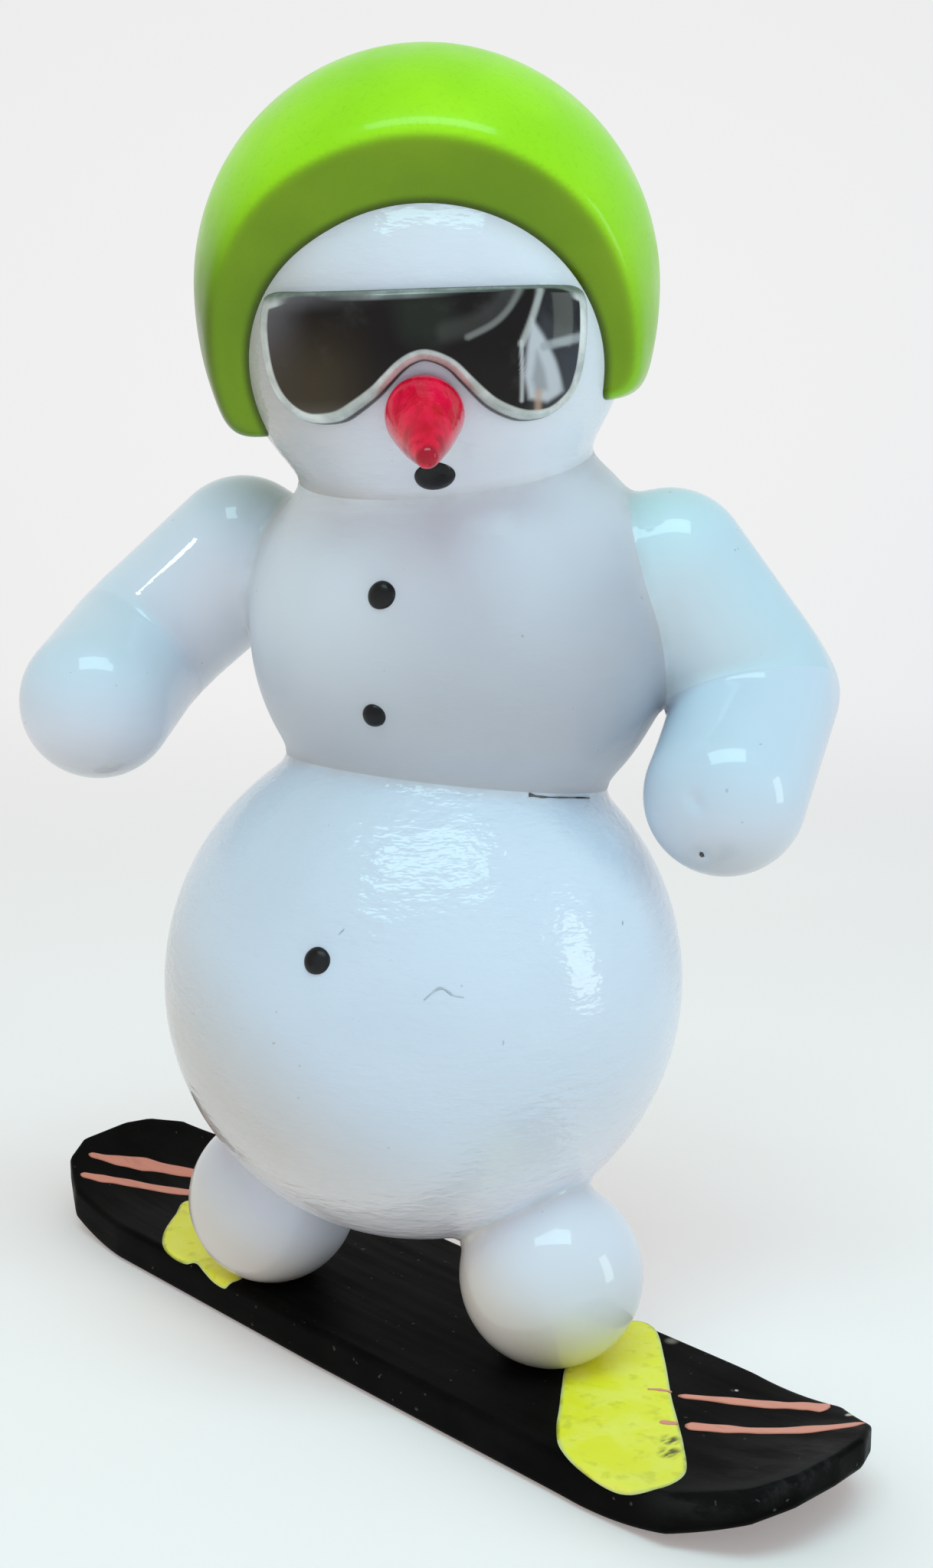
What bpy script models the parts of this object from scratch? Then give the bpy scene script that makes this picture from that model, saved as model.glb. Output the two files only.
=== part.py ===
"""Turned and painted wooden snowman riding a snowboard, as separate glued and dowelled pieces.

Frame: metres, +Z up. The origin is the middle of the board's flat underside. +X runs along the
board towards its leading tip, and the belly faces -Y. Left and right are the snowman's own.
"""
import math

import bmesh
import bpy
from mathutils import Matrix, Vector

MM = 0.001
GAP = 0.3 * MM                 # glue-line clearance kept between neighbouring pieces

# Snowboard: a plank with rounded ends that curl upwards.
BOARD_LENGTH = 72.8 * MM
BOARD_WIDTH = 16.6 * MM
BOARD_THICKNESS = 2.8 * MM
BOARD_NOSE_LENGTH = 12.6 * MM  # length over which the plan view rounds off
BOARD_NOSE_POWER = 2.75        # superellipse power of the rounded end
BOARD_FLAT_HALF = 24.5 * MM    # the curl starts this far from the middle
BOARD_TOP_RISE = 2.6 * MM
BOARD_BASE_RISE = 3.4 * MM
BOARD_DRIFT = 0.4 * MM         # the hand-cut leading half drifts this far towards +Y
BOARD_DRIFT_RUN = 22.0 * MM    # over this length from the middle
BOARD_EDGE_ROUND = 0.35 * MM

# Turned balls, by centre and radius.
FOOT_RADIUS = 6.0 * MM
FOOT_SINK = 0.5 * MM           # how far the full ball would dip below the board's top
LEFT_FOOT_XY = (13.0 * MM, 1.0 * MM)
RIGHT_FOOT_XY = (-9.5 * MM, -4.4 * MM)
BELLY_RADIUS = 17.5 * MM
BELLY_CENTRE = Vector((0.6, 1.15, 25.75)) * MM
CHEST_RADIUS = 14.2 * MM
CHEST_CENTRE = Vector((0.8, 4.6, 49.4)) * MM
HEAD_RADIUS = 12.5 * MM
HEAD_CENTRE = Vector((2.1, 0.6, 68.85)) * MM
HEAD_HEADING = 46.2            # degrees the face is turned from -Y towards +X

# Arms: dowels with a domed shoulder and hand, mitred at the elbow.
ARM_RADIUS = 5.2 * MM
LEFT_SHOULDER = Vector((12.3, 12.2, 53.55)) * MM
LEFT_ELBOW = Vector((15.6, 17.9, 45.15)) * MM
LEFT_HAND = Vector((18.6, 10.7, 39.6)) * MM
RIGHT_SHOULDER = Vector((-12.5, -3.5, 54.1)) * MM
RIGHT_ELBOW = Vector((-20.1, -6.9, 47.4)) * MM
RIGHT_HAND = Vector((-15.8, -13.5, 44.4)) * MM

# Helmet: a thick hollowed dome, cut off in front of the face and above the neck.
HELMET_RADIUS = 14.55 * MM
HELMET_SKIRT_DEPTH = 17.4 * MM  # vertical half axis of the dome's lower half
HELMET_OFFSET = Vector((-0.2, 2.25, 0.4)) * MM   # right, up, forward of the head's centre
HELMET_LEAN_BACK = 7.0         # degrees, of the dome's own axis
HELMET_HEM_ROLL = 6.0          # degrees, down on the snowman's right
HELMET_FACE_TILT = 27.5        # degrees the front cut overhangs the forehead
HELMET_FACE_DISTANCE = 6.55 * MM
HELMET_HEM_DROP = 5.75 * MM    # the hem's height below the head's centre
HELMET_CLEARANCE = 0.4 * MM

# Goggles: one curved mirror plate that hugs the head.
GOGGLE_THICKNESS = 0.6 * MM
GOGGLE_HALF_ANGLE = 45.6       # degrees round the head on either side
GOGGLE_TOP = 1.7 * MM
GOGGLE_LOBE_BOTTOM = -6.0 * MM
GOGGLE_LOBE_ANGLE = 28.0
GOGGLE_BRIDGE = -2.45 * MM     # height of the nose notch
GOGGLE_END_HEIGHT = 0.0 * MM
GOGGLE_ROLL = 1.2              # degrees, down on the snowman's right

# Nose, mouth and buttons: heading from the face's middle, and elevation, in degrees.
NOSE_RADIUS = 2.3 * MM
NOSE_TIP_RADIUS = 0.7 * MM
NOSE_LENGTH = 5.6 * MM         # from the round back's centre to the tip's centre
NOSE_HEADING = -0.4
NOSE_ELEVATION = -24.2
NOSE_PITCH = -23.6
NOSE_YAW = 3.8
NOSE_PROUD = 0.9 * MM          # from the head's surface to the round back's centre
NOSE_PEG_RADIUS = 0.9 * MM
NOSE_PEG_DEPTH = 3.0 * MM
MOUTH_RADIUS = 1.2 * MM
MOUTH_HEADING = 2.8
MOUTH_ELEVATION = -47.0
BUTTON_SHANK_RADIUS = 0.4 * MM
BUTTON_SHANK_LENGTH = 2.4 * MM
BUTTON_GAP = 0.2 * MM
BUTTON_DOME = 0.35 * MM
BUTTON_SPECS = {               # name: (centre, ball radius, radius, heading, elevation)
    "button_upper": (CHEST_CENTRE, CHEST_RADIUS, 0.88 * MM, 25.9, 13.4),
    "button_middle": (CHEST_CENTRE, CHEST_RADIUS, 0.76 * MM, 23.1, -16.9),
    "button_lower": (BELLY_CENTRE, BELLY_RADIUS, 0.84 * MM, 25.2, 18.3),
}

# Hidden dowels, by radius and half length.
NECK_DOWEL = (2.5 * MM, 5.5 * MM)
WAIST_DOWEL = (3.0 * MM, 6.5 * MM)
HIP_DOWEL = (1.75 * MM, 4.4 * MM)
FOOT_DOWEL_RADIUS = 1.5 * MM
FOOT_DOWEL_DEPTHS = (1.5 * MM, 3.0 * MM)    # into the board and into the foot
SHOULDER_DOWEL = (1.5 * MM, 3.4 * MM)
ELBOW_DOWEL = (1.25 * MM, 3.2 * MM)

WHITE = (0.82, 0.87, 0.90)
GREEN = (0.20, 0.83, 0.012)
BLACK = (0.012, 0.011, 0.012)
RED = (0.68, 0.006, 0.035)
BEECH = (0.62, 0.42, 0.25)
SILVER = (0.86, 0.87, 0.88)


def clear_scene():
    for item in list(bpy.data.objects):
        bpy.data.objects.remove(item, do_unlink=True)


def paint(name, colour, roughness=0.22, metallic=0.0, coat=0.0):
    material = bpy.data.materials.new(name)
    material.use_nodes = True
    shader = material.node_tree.nodes["Principled BSDF"]
    shader.inputs["Base Color"].default_value = (*colour, 1.0)
    shader.inputs["Roughness"].default_value = roughness
    shader.inputs["Metallic"].default_value = metallic
    shader.inputs["Coat Weight"].default_value = coat
    material.diffuse_color = (*colour, 1.0)
    return material


def lacquer(name, colour):
    return paint(name + "_lacquer", colour, roughness=0.2, coat=0.5)


def bare_beech(name):
    return paint(name + "_beech", BEECH, roughness=0.65)


def make_object(name, bm, material, location=(0, 0, 0), rotation=None, sharp_angle=35.0):
    """Close the bmesh into an object, with outward faces and smooth round surfaces."""
    bmesh.ops.recalc_face_normals(bm, faces=bm.faces[:])
    mesh = bpy.data.meshes.new(name)
    bm.to_mesh(mesh)
    bm.free()
    mesh.shade_smooth()
    mesh.set_sharp_from_angle(angle=math.radians(sharp_angle))
    item = bpy.data.objects.new(name, mesh)
    bpy.context.scene.collection.objects.link(item)
    item.location = location
    if rotation is not None:
        item.rotation_mode = "QUATERNION"
        item.rotation_quaternion = rotation
    if material is not None:
        mesh.materials.append(material)
    return item


def make_cutter(name, bm):
    cutter = make_object(name, bm, None)
    cutter.hide_render = True
    cutter.display_type = "WIRE"
    return cutter


def cut(item, cutter):
    modifier = item.modifiers.new("cut_" + cutter.name, "BOOLEAN")
    modifier.operation = "DIFFERENCE"
    modifier.solver = "EXACT"
    modifier.object = cutter


def aim(direction):
    """Rotation that turns local +Z onto the direction."""
    return Vector(direction).to_track_quat("Z", "Y")


def heading_vector(heading, elevation=0.0):
    """Unit vector at a heading from -Y towards +X and an elevation, both in degrees."""
    turn = math.radians(heading)
    lift = math.radians(elevation)
    flat = math.cos(lift)
    return Vector((flat * math.sin(turn), -flat * math.cos(turn), math.sin(lift)))


def head_axes():
    """Unit vectors across (to the right for someone facing the head), up and forward."""
    forward = heading_vector(HEAD_HEADING)
    up = Vector((0, 0, 1))
    return up.cross(forward), up, forward


def in_head_frame(right, up, forward):
    across, above, ahead = head_axes()
    return across * right + above * up + ahead * forward


def slice_off(bm, point, normal):
    """Saw the solid flat at a plane and throw away the side that the normal points to."""
    everything = bm.verts[:] + bm.edges[:] + bm.faces[:]
    result = bmesh.ops.bisect_plane(
        bm, geom=everything, dist=1e-8, plane_co=point, plane_no=normal, clear_outer=True)
    rim = [part for part in result["geom_cut"] if isinstance(part, bmesh.types.BMEdge)]
    bmesh.ops.edgeloop_fill(bm, edges=rim)


def ball(radius, segments, rings):
    bm = bmesh.new()
    bmesh.ops.create_uvsphere(bm, u_segments=segments, v_segments=rings, radius=radius)
    return bm


def turned(profile, segments):
    """Solid of revolution about Z. The profile runs (radius, height) and both ends are at radius 0."""
    bm = bmesh.new()
    bottom = bm.verts.new((0, 0, profile[0][1]))
    rings = []
    for radius, height in profile[1:-1]:
        ring = []
        for index in range(segments):
            angle = 2 * math.pi * index / segments
            ring.append(bm.verts.new((radius * math.cos(angle), radius * math.sin(angle), height)))
        rings.append(ring)
    top = bm.verts.new((0, 0, profile[-1][1]))
    for index in range(segments):
        following = (index + 1) % segments
        bm.faces.new((bottom, rings[0][following], rings[0][index]))
        bm.faces.new((top, rings[-1][index], rings[-1][following]))
        for lower, upper in zip(rings, rings[1:]):
            bm.faces.new((lower[index], lower[following], upper[following], upper[index]))
    return bm


def rod_profile(radius, low, high, chamfer=0.0):
    if chamfer <= 0:
        return [(0, low), (radius, low), (radius, high), (0, high)]
    return [(0, low), (radius - chamfer, low), (radius, low + chamfer),
            (radius, high - chamfer), (radius - chamfer, high), (0, high)]


def add_rod(bm, start, end, radius, segments=16):
    """Add one closed straight rod to a cutter."""
    axis = end - start
    placing = Matrix.Translation((start + end) / 2) @ aim(axis).to_matrix().to_4x4()
    bmesh.ops.create_cone(
        bm, cap_ends=True, segments=segments, radius1=radius, radius2=radius,
        depth=axis.length, matrix=placing)


def joint_plane(lower, lower_radius, upper, upper_radius):
    """Where two overlapping balls are sawn flat and glued: a point, and the axis upwards."""
    axis = upper - lower
    distance = axis.length
    axis.normalize()
    along = (distance ** 2 + lower_radius ** 2 - upper_radius ** 2) / (2 * distance)
    return lower + axis * along, axis


WAIST_POINT, WAIST_AXIS = joint_plane(BELLY_CENTRE, BELLY_RADIUS, CHEST_CENTRE, CHEST_RADIUS)
NECK_POINT, NECK_AXIS = joint_plane(CHEST_CENTRE, CHEST_RADIUS, HEAD_CENTRE, HEAD_RADIUS)


def foot_centre(xy):
    return Vector((xy[0], xy[1], BOARD_THICKNESS + FOOT_RADIUS - FOOT_SINK))


def hip_axis(xy):
    """Direction from the belly's centre to a foot's centre."""
    return (foot_centre(xy) - BELLY_CENTRE).normalized()


def hip_point(xy):
    return BELLY_CENTRE + hip_axis(xy) * (BELLY_RADIUS + GAP / 2)


def board_half_width(x):
    past = abs(x) - (BOARD_LENGTH / 2 - BOARD_NOSE_LENGTH)
    if past <= 0:
        return BOARD_WIDTH / 2
    share = min(past / BOARD_NOSE_LENGTH, 1.0)
    return BOARD_WIDTH / 2 * (1 - share ** BOARD_NOSE_POWER) ** (1 / BOARD_NOSE_POWER)


def board_stations():
    """Positions along the board, closer together where the plan view rounds off."""
    straight = BOARD_LENGTH / 2 - BOARD_NOSE_LENGTH
    half = [straight * step / 6 for step in range(6)]
    half += [straight + BOARD_NOSE_LENGTH * math.sin(math.pi / 2 * step / 14) for step in range(14)]
    half.append(BOARD_LENGTH / 2)
    return [-x for x in reversed(half[1:])] + half


def board_curl(x):
    return max(0.0, (abs(x) - BOARD_FLAT_HALF) / (BOARD_LENGTH / 2 - BOARD_FLAT_HALF)) ** 2


def board_middle(x):
    return BOARD_DRIFT * min(max(x / BOARD_DRIFT_RUN, 0.0), 1.0)


def make_snowboard():
    bm = bmesh.new()
    stations = []
    for x in board_stations():
        top = BOARD_THICKNESS + BOARD_TOP_RISE * board_curl(x)
        base = BOARD_BASE_RISE * board_curl(x)
        middle = board_middle(x)
        half = board_half_width(x)
        if half < 0.01 * MM:
            low = bm.verts.new((x, middle, base))
            high = bm.verts.new((x, middle, top))
            stations.append((low, low, high, high))
            continue
        near, far = middle - half, middle + half
        stations.append((bm.verts.new((x, near, base)), bm.verts.new((x, far, base)),
                         bm.verts.new((x, far, top)), bm.verts.new((x, near, top))))
    for here, there in zip(stations, stations[1:]):
        for side in range(4):
            following = (side + 1) % 4
            corners = []
            for corner in (here[side], here[following], there[following], there[side]):
                if corner not in corners:
                    corners.append(corner)
            if len(corners) > 2:
                bm.faces.new(corners)
    board = make_object("snowboard", bm, paint("board_paint", BLACK, roughness=0.42))
    rounding = board.modifiers.new("rounded_edges", "BEVEL")
    rounding.width = BOARD_EDGE_ROUND
    rounding.segments = 2
    rounding.limit_method = "ANGLE"
    rounding.angle_limit = math.radians(50)
    sockets = bmesh.new()
    for xy in (LEFT_FOOT_XY, RIGHT_FOOT_XY):
        deep = BOARD_THICKNESS - FOOT_DOWEL_DEPTHS[0] - GAP
        add_rod(sockets, Vector((*xy, deep)), Vector((*xy, BOARD_THICKNESS + 2 * MM)),
                FOOT_DOWEL_RADIUS + GAP)
    cut(board, make_cutter("board_sockets", sockets))


def make_foot(side, xy, belly_seat):
    centre = foot_centre(xy)
    bm = ball(FOOT_RADIUS, 28, 14)
    sole = BOARD_THICKNESS + GAP - centre.z
    slice_off(bm, Vector((0, 0, sole)), Vector((0, 0, -1)))
    foot = make_object(side + "_foot", bm, lacquer(side + "_foot", WHITE), centre)
    cut(foot, belly_seat)
    axis = hip_axis(xy)
    sockets = bmesh.new()
    add_rod(sockets, hip_point(xy) - axis * 2 * MM, hip_point(xy) + axis * (HIP_DOWEL[1] + GAP),
            HIP_DOWEL[0] + GAP)
    add_rod(sockets, Vector((*xy, BOARD_THICKNESS - 1 * MM)),
            Vector((*xy, BOARD_THICKNESS + FOOT_DOWEL_DEPTHS[1] + GAP)), FOOT_DOWEL_RADIUS + GAP)
    cut(foot, make_cutter(side + "_foot_sockets", sockets))


def make_dowel(name, centre, axis, size):
    radius, half_length = size
    bm = turned(rod_profile(radius, -half_length, half_length, 0.25 * MM), 16)
    make_object(name, bm, bare_beech(name), centre, aim(axis))


def make_foot_dowel(side, xy):
    down, up = FOOT_DOWEL_DEPTHS
    centre = Vector((*xy, BOARD_THICKNESS + (up - down) / 2))
    make_dowel(side + "_foot_dowel", centre, Vector((0, 0, 1)), (FOOT_DOWEL_RADIUS, (up + down) / 2))


def add_button_socket(bm, centre, ball_radius, direction):
    """Blind hole for a button's shank."""
    add_rod(bm, centre + direction * (ball_radius - BUTTON_SHANK_LENGTH - GAP),
            centre + direction * (ball_radius + 2 * MM), BUTTON_SHANK_RADIUS + BUTTON_GAP, 12)


def domed_pin_profile(radius, ball_radius):
    """Profile of a domed button with a shank, with the ball's surface at height 0."""
    seat = BUTTON_GAP * 0.6
    profile = [(0, -BUTTON_SHANK_LENGTH), (BUTTON_SHANK_RADIUS, -BUTTON_SHANK_LENGTH),
               (BUTTON_SHANK_RADIUS, seat)]
    fall = ball_radius - math.sqrt(ball_radius ** 2 - radius ** 2)
    profile.append((radius, seat - fall))
    for step in range(1, 3):
        angle = math.pi / 2 * step / 3
        profile.append((radius * math.cos(angle), seat - fall + (BUTTON_DOME + fall) * math.sin(angle)))
    profile.append((0, seat + BUTTON_DOME))
    return profile


def make_domed_pin(name, centre, ball_radius, radius, direction):
    bm = turned(domed_pin_profile(radius, ball_radius), 14)
    make_object(name, bm, lacquer(name, BLACK), centre + direction * ball_radius, aim(direction))


def button_direction(name):
    return heading_vector(*BUTTON_SPECS[name][3:])


def make_belly():
    bm = ball(BELLY_RADIUS, 40, 20)
    turn = aim(WAIST_AXIS)
    height = (WAIST_POINT - BELLY_CENTRE).length - GAP / 2
    slice_off(bm, Vector((0, 0, height)), Vector((0, 0, 1)))
    belly = make_object("belly", bm, lacquer("belly", WHITE), BELLY_CENTRE, turn)
    sockets = bmesh.new()
    add_rod(sockets, WAIST_POINT - WAIST_AXIS * (WAIST_DOWEL[1] + GAP),
            WAIST_POINT + WAIST_AXIS * 2 * MM, WAIST_DOWEL[0] + GAP)
    for xy in (LEFT_FOOT_XY, RIGHT_FOOT_XY):
        axis = hip_axis(xy)
        add_rod(sockets, hip_point(xy) - axis * (HIP_DOWEL[1] + GAP), hip_point(xy) + axis * 2 * MM,
                HIP_DOWEL[0] + GAP)
    add_button_socket(sockets, BELLY_CENTRE, BELLY_RADIUS, button_direction("button_lower"))
    cut(belly, make_cutter("belly_sockets", sockets))


def shoulder_axis(shoulder):
    return (shoulder - CHEST_CENTRE).normalized()


def shoulder_point(shoulder):
    return CHEST_CENTRE + shoulder_axis(shoulder) * (CHEST_RADIUS + GAP / 2)


def make_chest():
    bm = ball(CHEST_RADIUS, 36, 18)
    slice_off(bm, WAIST_POINT + WAIST_AXIS * GAP / 2 - CHEST_CENTRE, -WAIST_AXIS)
    slice_off(bm, NECK_POINT - NECK_AXIS * GAP / 2 - CHEST_CENTRE, NECK_AXIS)
    chest = make_object("chest", bm, lacquer("chest", WHITE), CHEST_CENTRE)
    sockets = bmesh.new()
    add_rod(sockets, WAIST_POINT - WAIST_AXIS * 2 * MM,
            WAIST_POINT + WAIST_AXIS * (WAIST_DOWEL[1] + GAP), WAIST_DOWEL[0] + GAP)
    add_rod(sockets, NECK_POINT - NECK_AXIS * (NECK_DOWEL[1] + GAP),
            NECK_POINT + NECK_AXIS * 2 * MM, NECK_DOWEL[0] + GAP)
    for shoulder in (LEFT_SHOULDER, RIGHT_SHOULDER):
        axis = shoulder_axis(shoulder)
        point = shoulder_point(shoulder)
        add_rod(sockets, point - axis * (SHOULDER_DOWEL[1] + GAP), point + axis * 2 * MM,
                SHOULDER_DOWEL[0] + GAP)
    for name in ("button_upper", "button_middle"):
        add_button_socket(sockets, CHEST_CENTRE, CHEST_RADIUS, button_direction(name))
    cut(chest, make_cutter("chest_sockets", sockets))


def face_direction(heading, elevation):
    return heading_vector(HEAD_HEADING + heading, elevation)


def nose_base():
    direction = face_direction(NOSE_HEADING, NOSE_ELEVATION)
    return HEAD_CENTRE + direction * (HEAD_RADIUS + NOSE_PROUD)


def make_head():
    bm = ball(HEAD_RADIUS, 36, 18)
    slice_off(bm, NECK_POINT + NECK_AXIS * GAP / 2 - HEAD_CENTRE, -NECK_AXIS)
    head = make_object("head", bm, lacquer("head", WHITE), HEAD_CENTRE)
    sockets = bmesh.new()
    add_rod(sockets, NECK_POINT - NECK_AXIS * 2 * MM,
            NECK_POINT + NECK_AXIS * (NECK_DOWEL[1] + GAP), NECK_DOWEL[0] + GAP)
    mouth = face_direction(MOUTH_HEADING, MOUTH_ELEVATION)
    add_button_socket(sockets, HEAD_CENTRE, HEAD_RADIUS, mouth)
    axis = face_direction(NOSE_HEADING, NOSE_ELEVATION)
    add_rod(sockets, HEAD_CENTRE + axis * (HEAD_RADIUS - NOSE_PEG_DEPTH - GAP),
            HEAD_CENTRE + axis * (HEAD_RADIUS + 2 * MM), NOSE_PEG_RADIUS + BUTTON_GAP, 14)
    cut(head, make_cutter("head_sockets", sockets))


def nose_profile():
    """Teardrop: a round back, a straight taper and a small round tip, along +Z."""
    taper = math.asin((NOSE_RADIUS - NOSE_TIP_RADIUS) / NOSE_LENGTH)
    profile = [(0, -NOSE_RADIUS)]
    for step in range(1, 9):
        angle = (math.pi / 2 + taper) * step / 8
        profile.append((NOSE_RADIUS * math.sin(angle), -NOSE_RADIUS * math.cos(angle)))
    for step in range(0, 4):
        angle = math.pi / 2 + taper + (math.pi / 2 - taper) * step / 4
        profile.append((NOSE_TIP_RADIUS * math.sin(angle), NOSE_LENGTH - NOSE_TIP_RADIUS * math.cos(angle)))
    profile.append((0, NOSE_LENGTH + NOSE_TIP_RADIUS))
    return profile


def make_nose():
    """Carrot nose with its back hollowed to the head, and a peg made in one with it."""
    pointing = face_direction(NOSE_HEADING + NOSE_YAW, NOSE_PITCH)
    nose = make_object("nose", turned(nose_profile(), 20), lacquer("nose", RED), nose_base(), aim(pointing))
    hollow = bmesh.new()
    bmesh.ops.create_uvsphere(hollow, u_segments=36, v_segments=18, radius=HEAD_RADIUS + GAP,
                              matrix=Matrix.Translation(HEAD_CENTRE))
    cut(nose, make_cutter("nose_hollow", hollow))
    peg = bmesh.new()
    axis = face_direction(NOSE_HEADING, NOSE_ELEVATION)
    add_rod(peg, HEAD_CENTRE + axis * (HEAD_RADIUS - NOSE_PEG_DEPTH), nose_base(), NOSE_PEG_RADIUS, 14)
    peg_shape = make_cutter("nose_peg_shape", peg)
    joined = nose.modifiers.new("peg", "BOOLEAN")
    joined.operation = "UNION"
    joined.solver = "EXACT"
    joined.object = peg_shape


def helmet_profile():
    """Dome above and a longer, gently narrowing skirt below."""
    profile = [(0, -HELMET_SKIRT_DEPTH)]
    for step in range(1, 22):
        angle = -math.pi / 2 + math.pi * step / 22
        depth = HELMET_RADIUS if angle > 0 else HELMET_SKIRT_DEPTH
        profile.append((HELMET_RADIUS * math.cos(angle), depth * math.sin(angle)))
    profile.append((0, HELMET_RADIUS))
    return profile


def make_helmet():
    across, up, forward = head_axes()
    lean = math.radians(HELMET_LEAN_BACK)
    turn = aim(up * math.cos(lean) - forward * math.sin(lean))
    roll = math.radians(HELMET_HEM_ROLL)
    hem = across * math.sin(roll) - up * math.cos(roll)
    centre = HEAD_CENTRE + in_head_frame(*HELMET_OFFSET)
    bm = turned(helmet_profile(), 44)
    bm.transform(turn.to_matrix().to_4x4())
    tilt = math.radians(HELMET_FACE_TILT)
    face = forward * math.cos(tilt) - up * math.sin(tilt)
    slice_off(bm, HEAD_CENTRE + face * HELMET_FACE_DISTANCE - centre, face)
    slice_off(bm, HEAD_CENTRE + hem * HELMET_HEM_DROP - centre, hem)
    helmet = make_object("helmet", bm, lacquer("helmet", GREEN), centre)
    cavity = bmesh.new()
    bmesh.ops.create_uvsphere(cavity, u_segments=40, v_segments=20, radius=HEAD_RADIUS + HELMET_CLEARANCE,
                              matrix=Matrix.Translation(HEAD_CENTRE) @ turn.to_matrix().to_4x4())
    cut(helmet, make_cutter("helmet_cavity", cavity))


def goggle_edges(share):
    """Lower and upper edge heights at a share of the way from the middle (0) to an end (1)."""
    angle = share * GOGGLE_HALF_ANGLE
    past = max(0.0, (angle - GOGGLE_LOBE_ANGLE) / (GOGGLE_HALF_ANGLE - GOGGLE_LOBE_ANGLE))
    drop = GOGGLE_END_HEIGHT - GOGGLE_LOBE_BOTTOM
    lower = GOGGLE_END_HEIGHT - drop * (1 - past ** 2.4) ** (1 / 2.4)
    if angle < GOGGLE_LOBE_ANGLE:
        wave = (0.5 + 0.5 * math.cos(math.pi * angle / GOGGLE_LOBE_ANGLE)) ** 1.3
        lower = GOGGLE_LOBE_BOTTOM + (GOGGLE_BRIDGE - GOGGLE_LOBE_BOTTOM) * wave
    rise = GOGGLE_TOP - GOGGLE_END_HEIGHT
    corner = max(0.0, (share - 0.86) / 0.14)
    upper = GOGGLE_END_HEIGHT + rise * (1 - corner ** 2.2) ** (1 / 2.2)
    return lower, upper


def make_goggles():
    inner = HEAD_RADIUS + GAP
    outer = inner + GOGGLE_THICKNESS
    columns, rows = 32, 2
    bm = bmesh.new()
    across, up, forward = head_axes()
    sheets = []
    for radius in (inner, outer):
        sheet = []
        for column in range(columns + 1):
            spread = math.sin(math.pi / 2 * (2 * column / columns - 1) * 0.985)
            low, high = goggle_edges(min(abs(spread), 1.0))
            angle = math.radians(GOGGLE_HALF_ANGLE * spread)
            line = []
            for row in range(rows + 1):
                height = low + (high - low) * row / rows
                flat = math.sqrt(radius ** 2 - height ** 2)
                point = across * flat * math.sin(angle) + forward * flat * math.cos(angle) + up * height
                line.append(bm.verts.new(point))
            sheet.append(line)
        sheets.append(sheet)
    back, front = sheets
    for column in range(columns):
        for row in range(rows):
            bm.faces.new((front[column][row], front[column + 1][row],
                          front[column + 1][row + 1], front[column][row + 1]))
            bm.faces.new((back[column][row], back[column][row + 1],
                          back[column + 1][row + 1], back[column + 1][row]))
        for row in (0, rows):
            bm.faces.new((front[column][row], back[column][row],
                          back[column + 1][row], front[column + 1][row]))
    for column in (0, columns):
        for row in range(rows):
            bm.faces.new((front[column][row], front[column][row + 1],
                          back[column][row + 1], back[column][row]))
    bm.transform(Matrix.Rotation(math.radians(GOGGLE_ROLL), 4, forward))
    mirror = paint("goggle_mirror", SILVER, roughness=0.05, metallic=1.0)
    make_object("goggles", bm, mirror, HEAD_CENTRE)


def arm_profile(length):
    """Dowel along +Z with a domed end at 0, and a plain end that the mitre saws off."""
    profile = [(0, -ARM_RADIUS)]
    for step in range(1, 8):
        angle = math.pi / 2 * step / 7
        profile.append((ARM_RADIUS * math.sin(angle), -ARM_RADIUS * math.cos(angle)))
    profile += [(ARM_RADIUS, length + 8 * MM), (0, length + 8 * MM)]
    return profile


def elbow_axis(shoulder, elbow, hand):
    return ((elbow - shoulder).normalized() + (hand - elbow).normalized()).normalized()


def arm_half(domed_end, elbow, saw_axis):
    """Half an arm in world directions about its domed end, mitred where the axis crosses the elbow."""
    along = elbow - domed_end
    bm = turned(arm_profile(along.length), 28)
    bm.transform(aim(along).to_matrix().to_4x4())
    slice_off(bm, elbow - saw_axis * GAP / 2 - domed_end, saw_axis)
    return bm


def make_arm(side, shoulder, elbow, hand):
    axis = elbow_axis(shoulder, elbow, hand)
    upper = make_object(side + "_upper_arm", arm_half(shoulder, elbow, axis),
                        lacquer(side + "_upper_arm", WHITE), shoulder)
    fore = make_object(side + "_forearm", arm_half(hand, elbow, -axis),
                       lacquer(side + "_forearm", WHITE), hand)
    cut(upper, make_cutter(side + "_shoulder_seat", chest_seat()))
    reach = ELBOW_DOWEL[1] + GAP
    out = shoulder_axis(shoulder)
    point = shoulder_point(shoulder)
    upper_sockets = bmesh.new()
    add_rod(upper_sockets, point - out * 2 * MM, point + out * (SHOULDER_DOWEL[1] + GAP),
            SHOULDER_DOWEL[0] + GAP)
    add_rod(upper_sockets, elbow - axis * reach, elbow + axis * 1 * MM, ELBOW_DOWEL[0] + GAP, 16)
    cut(upper, make_cutter(side + "_upper_arm_sockets", upper_sockets))
    fore_sockets = bmesh.new()
    add_rod(fore_sockets, elbow - axis * 1 * MM, elbow + axis * reach, ELBOW_DOWEL[0] + GAP, 16)
    cut(fore, make_cutter(side + "_forearm_sockets", fore_sockets))
    make_dowel(side + "_shoulder_dowel", point, out, SHOULDER_DOWEL)
    make_dowel(side + "_elbow_dowel", elbow, axis, ELBOW_DOWEL)


def chest_seat():
    """The chest's ball, a glue line larger, that hollows a shoulder."""
    seat = bmesh.new()
    bmesh.ops.create_uvsphere(seat, u_segments=36, v_segments=18, radius=CHEST_RADIUS + GAP,
                              matrix=Matrix.Translation(CHEST_CENTRE))
    return seat


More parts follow.
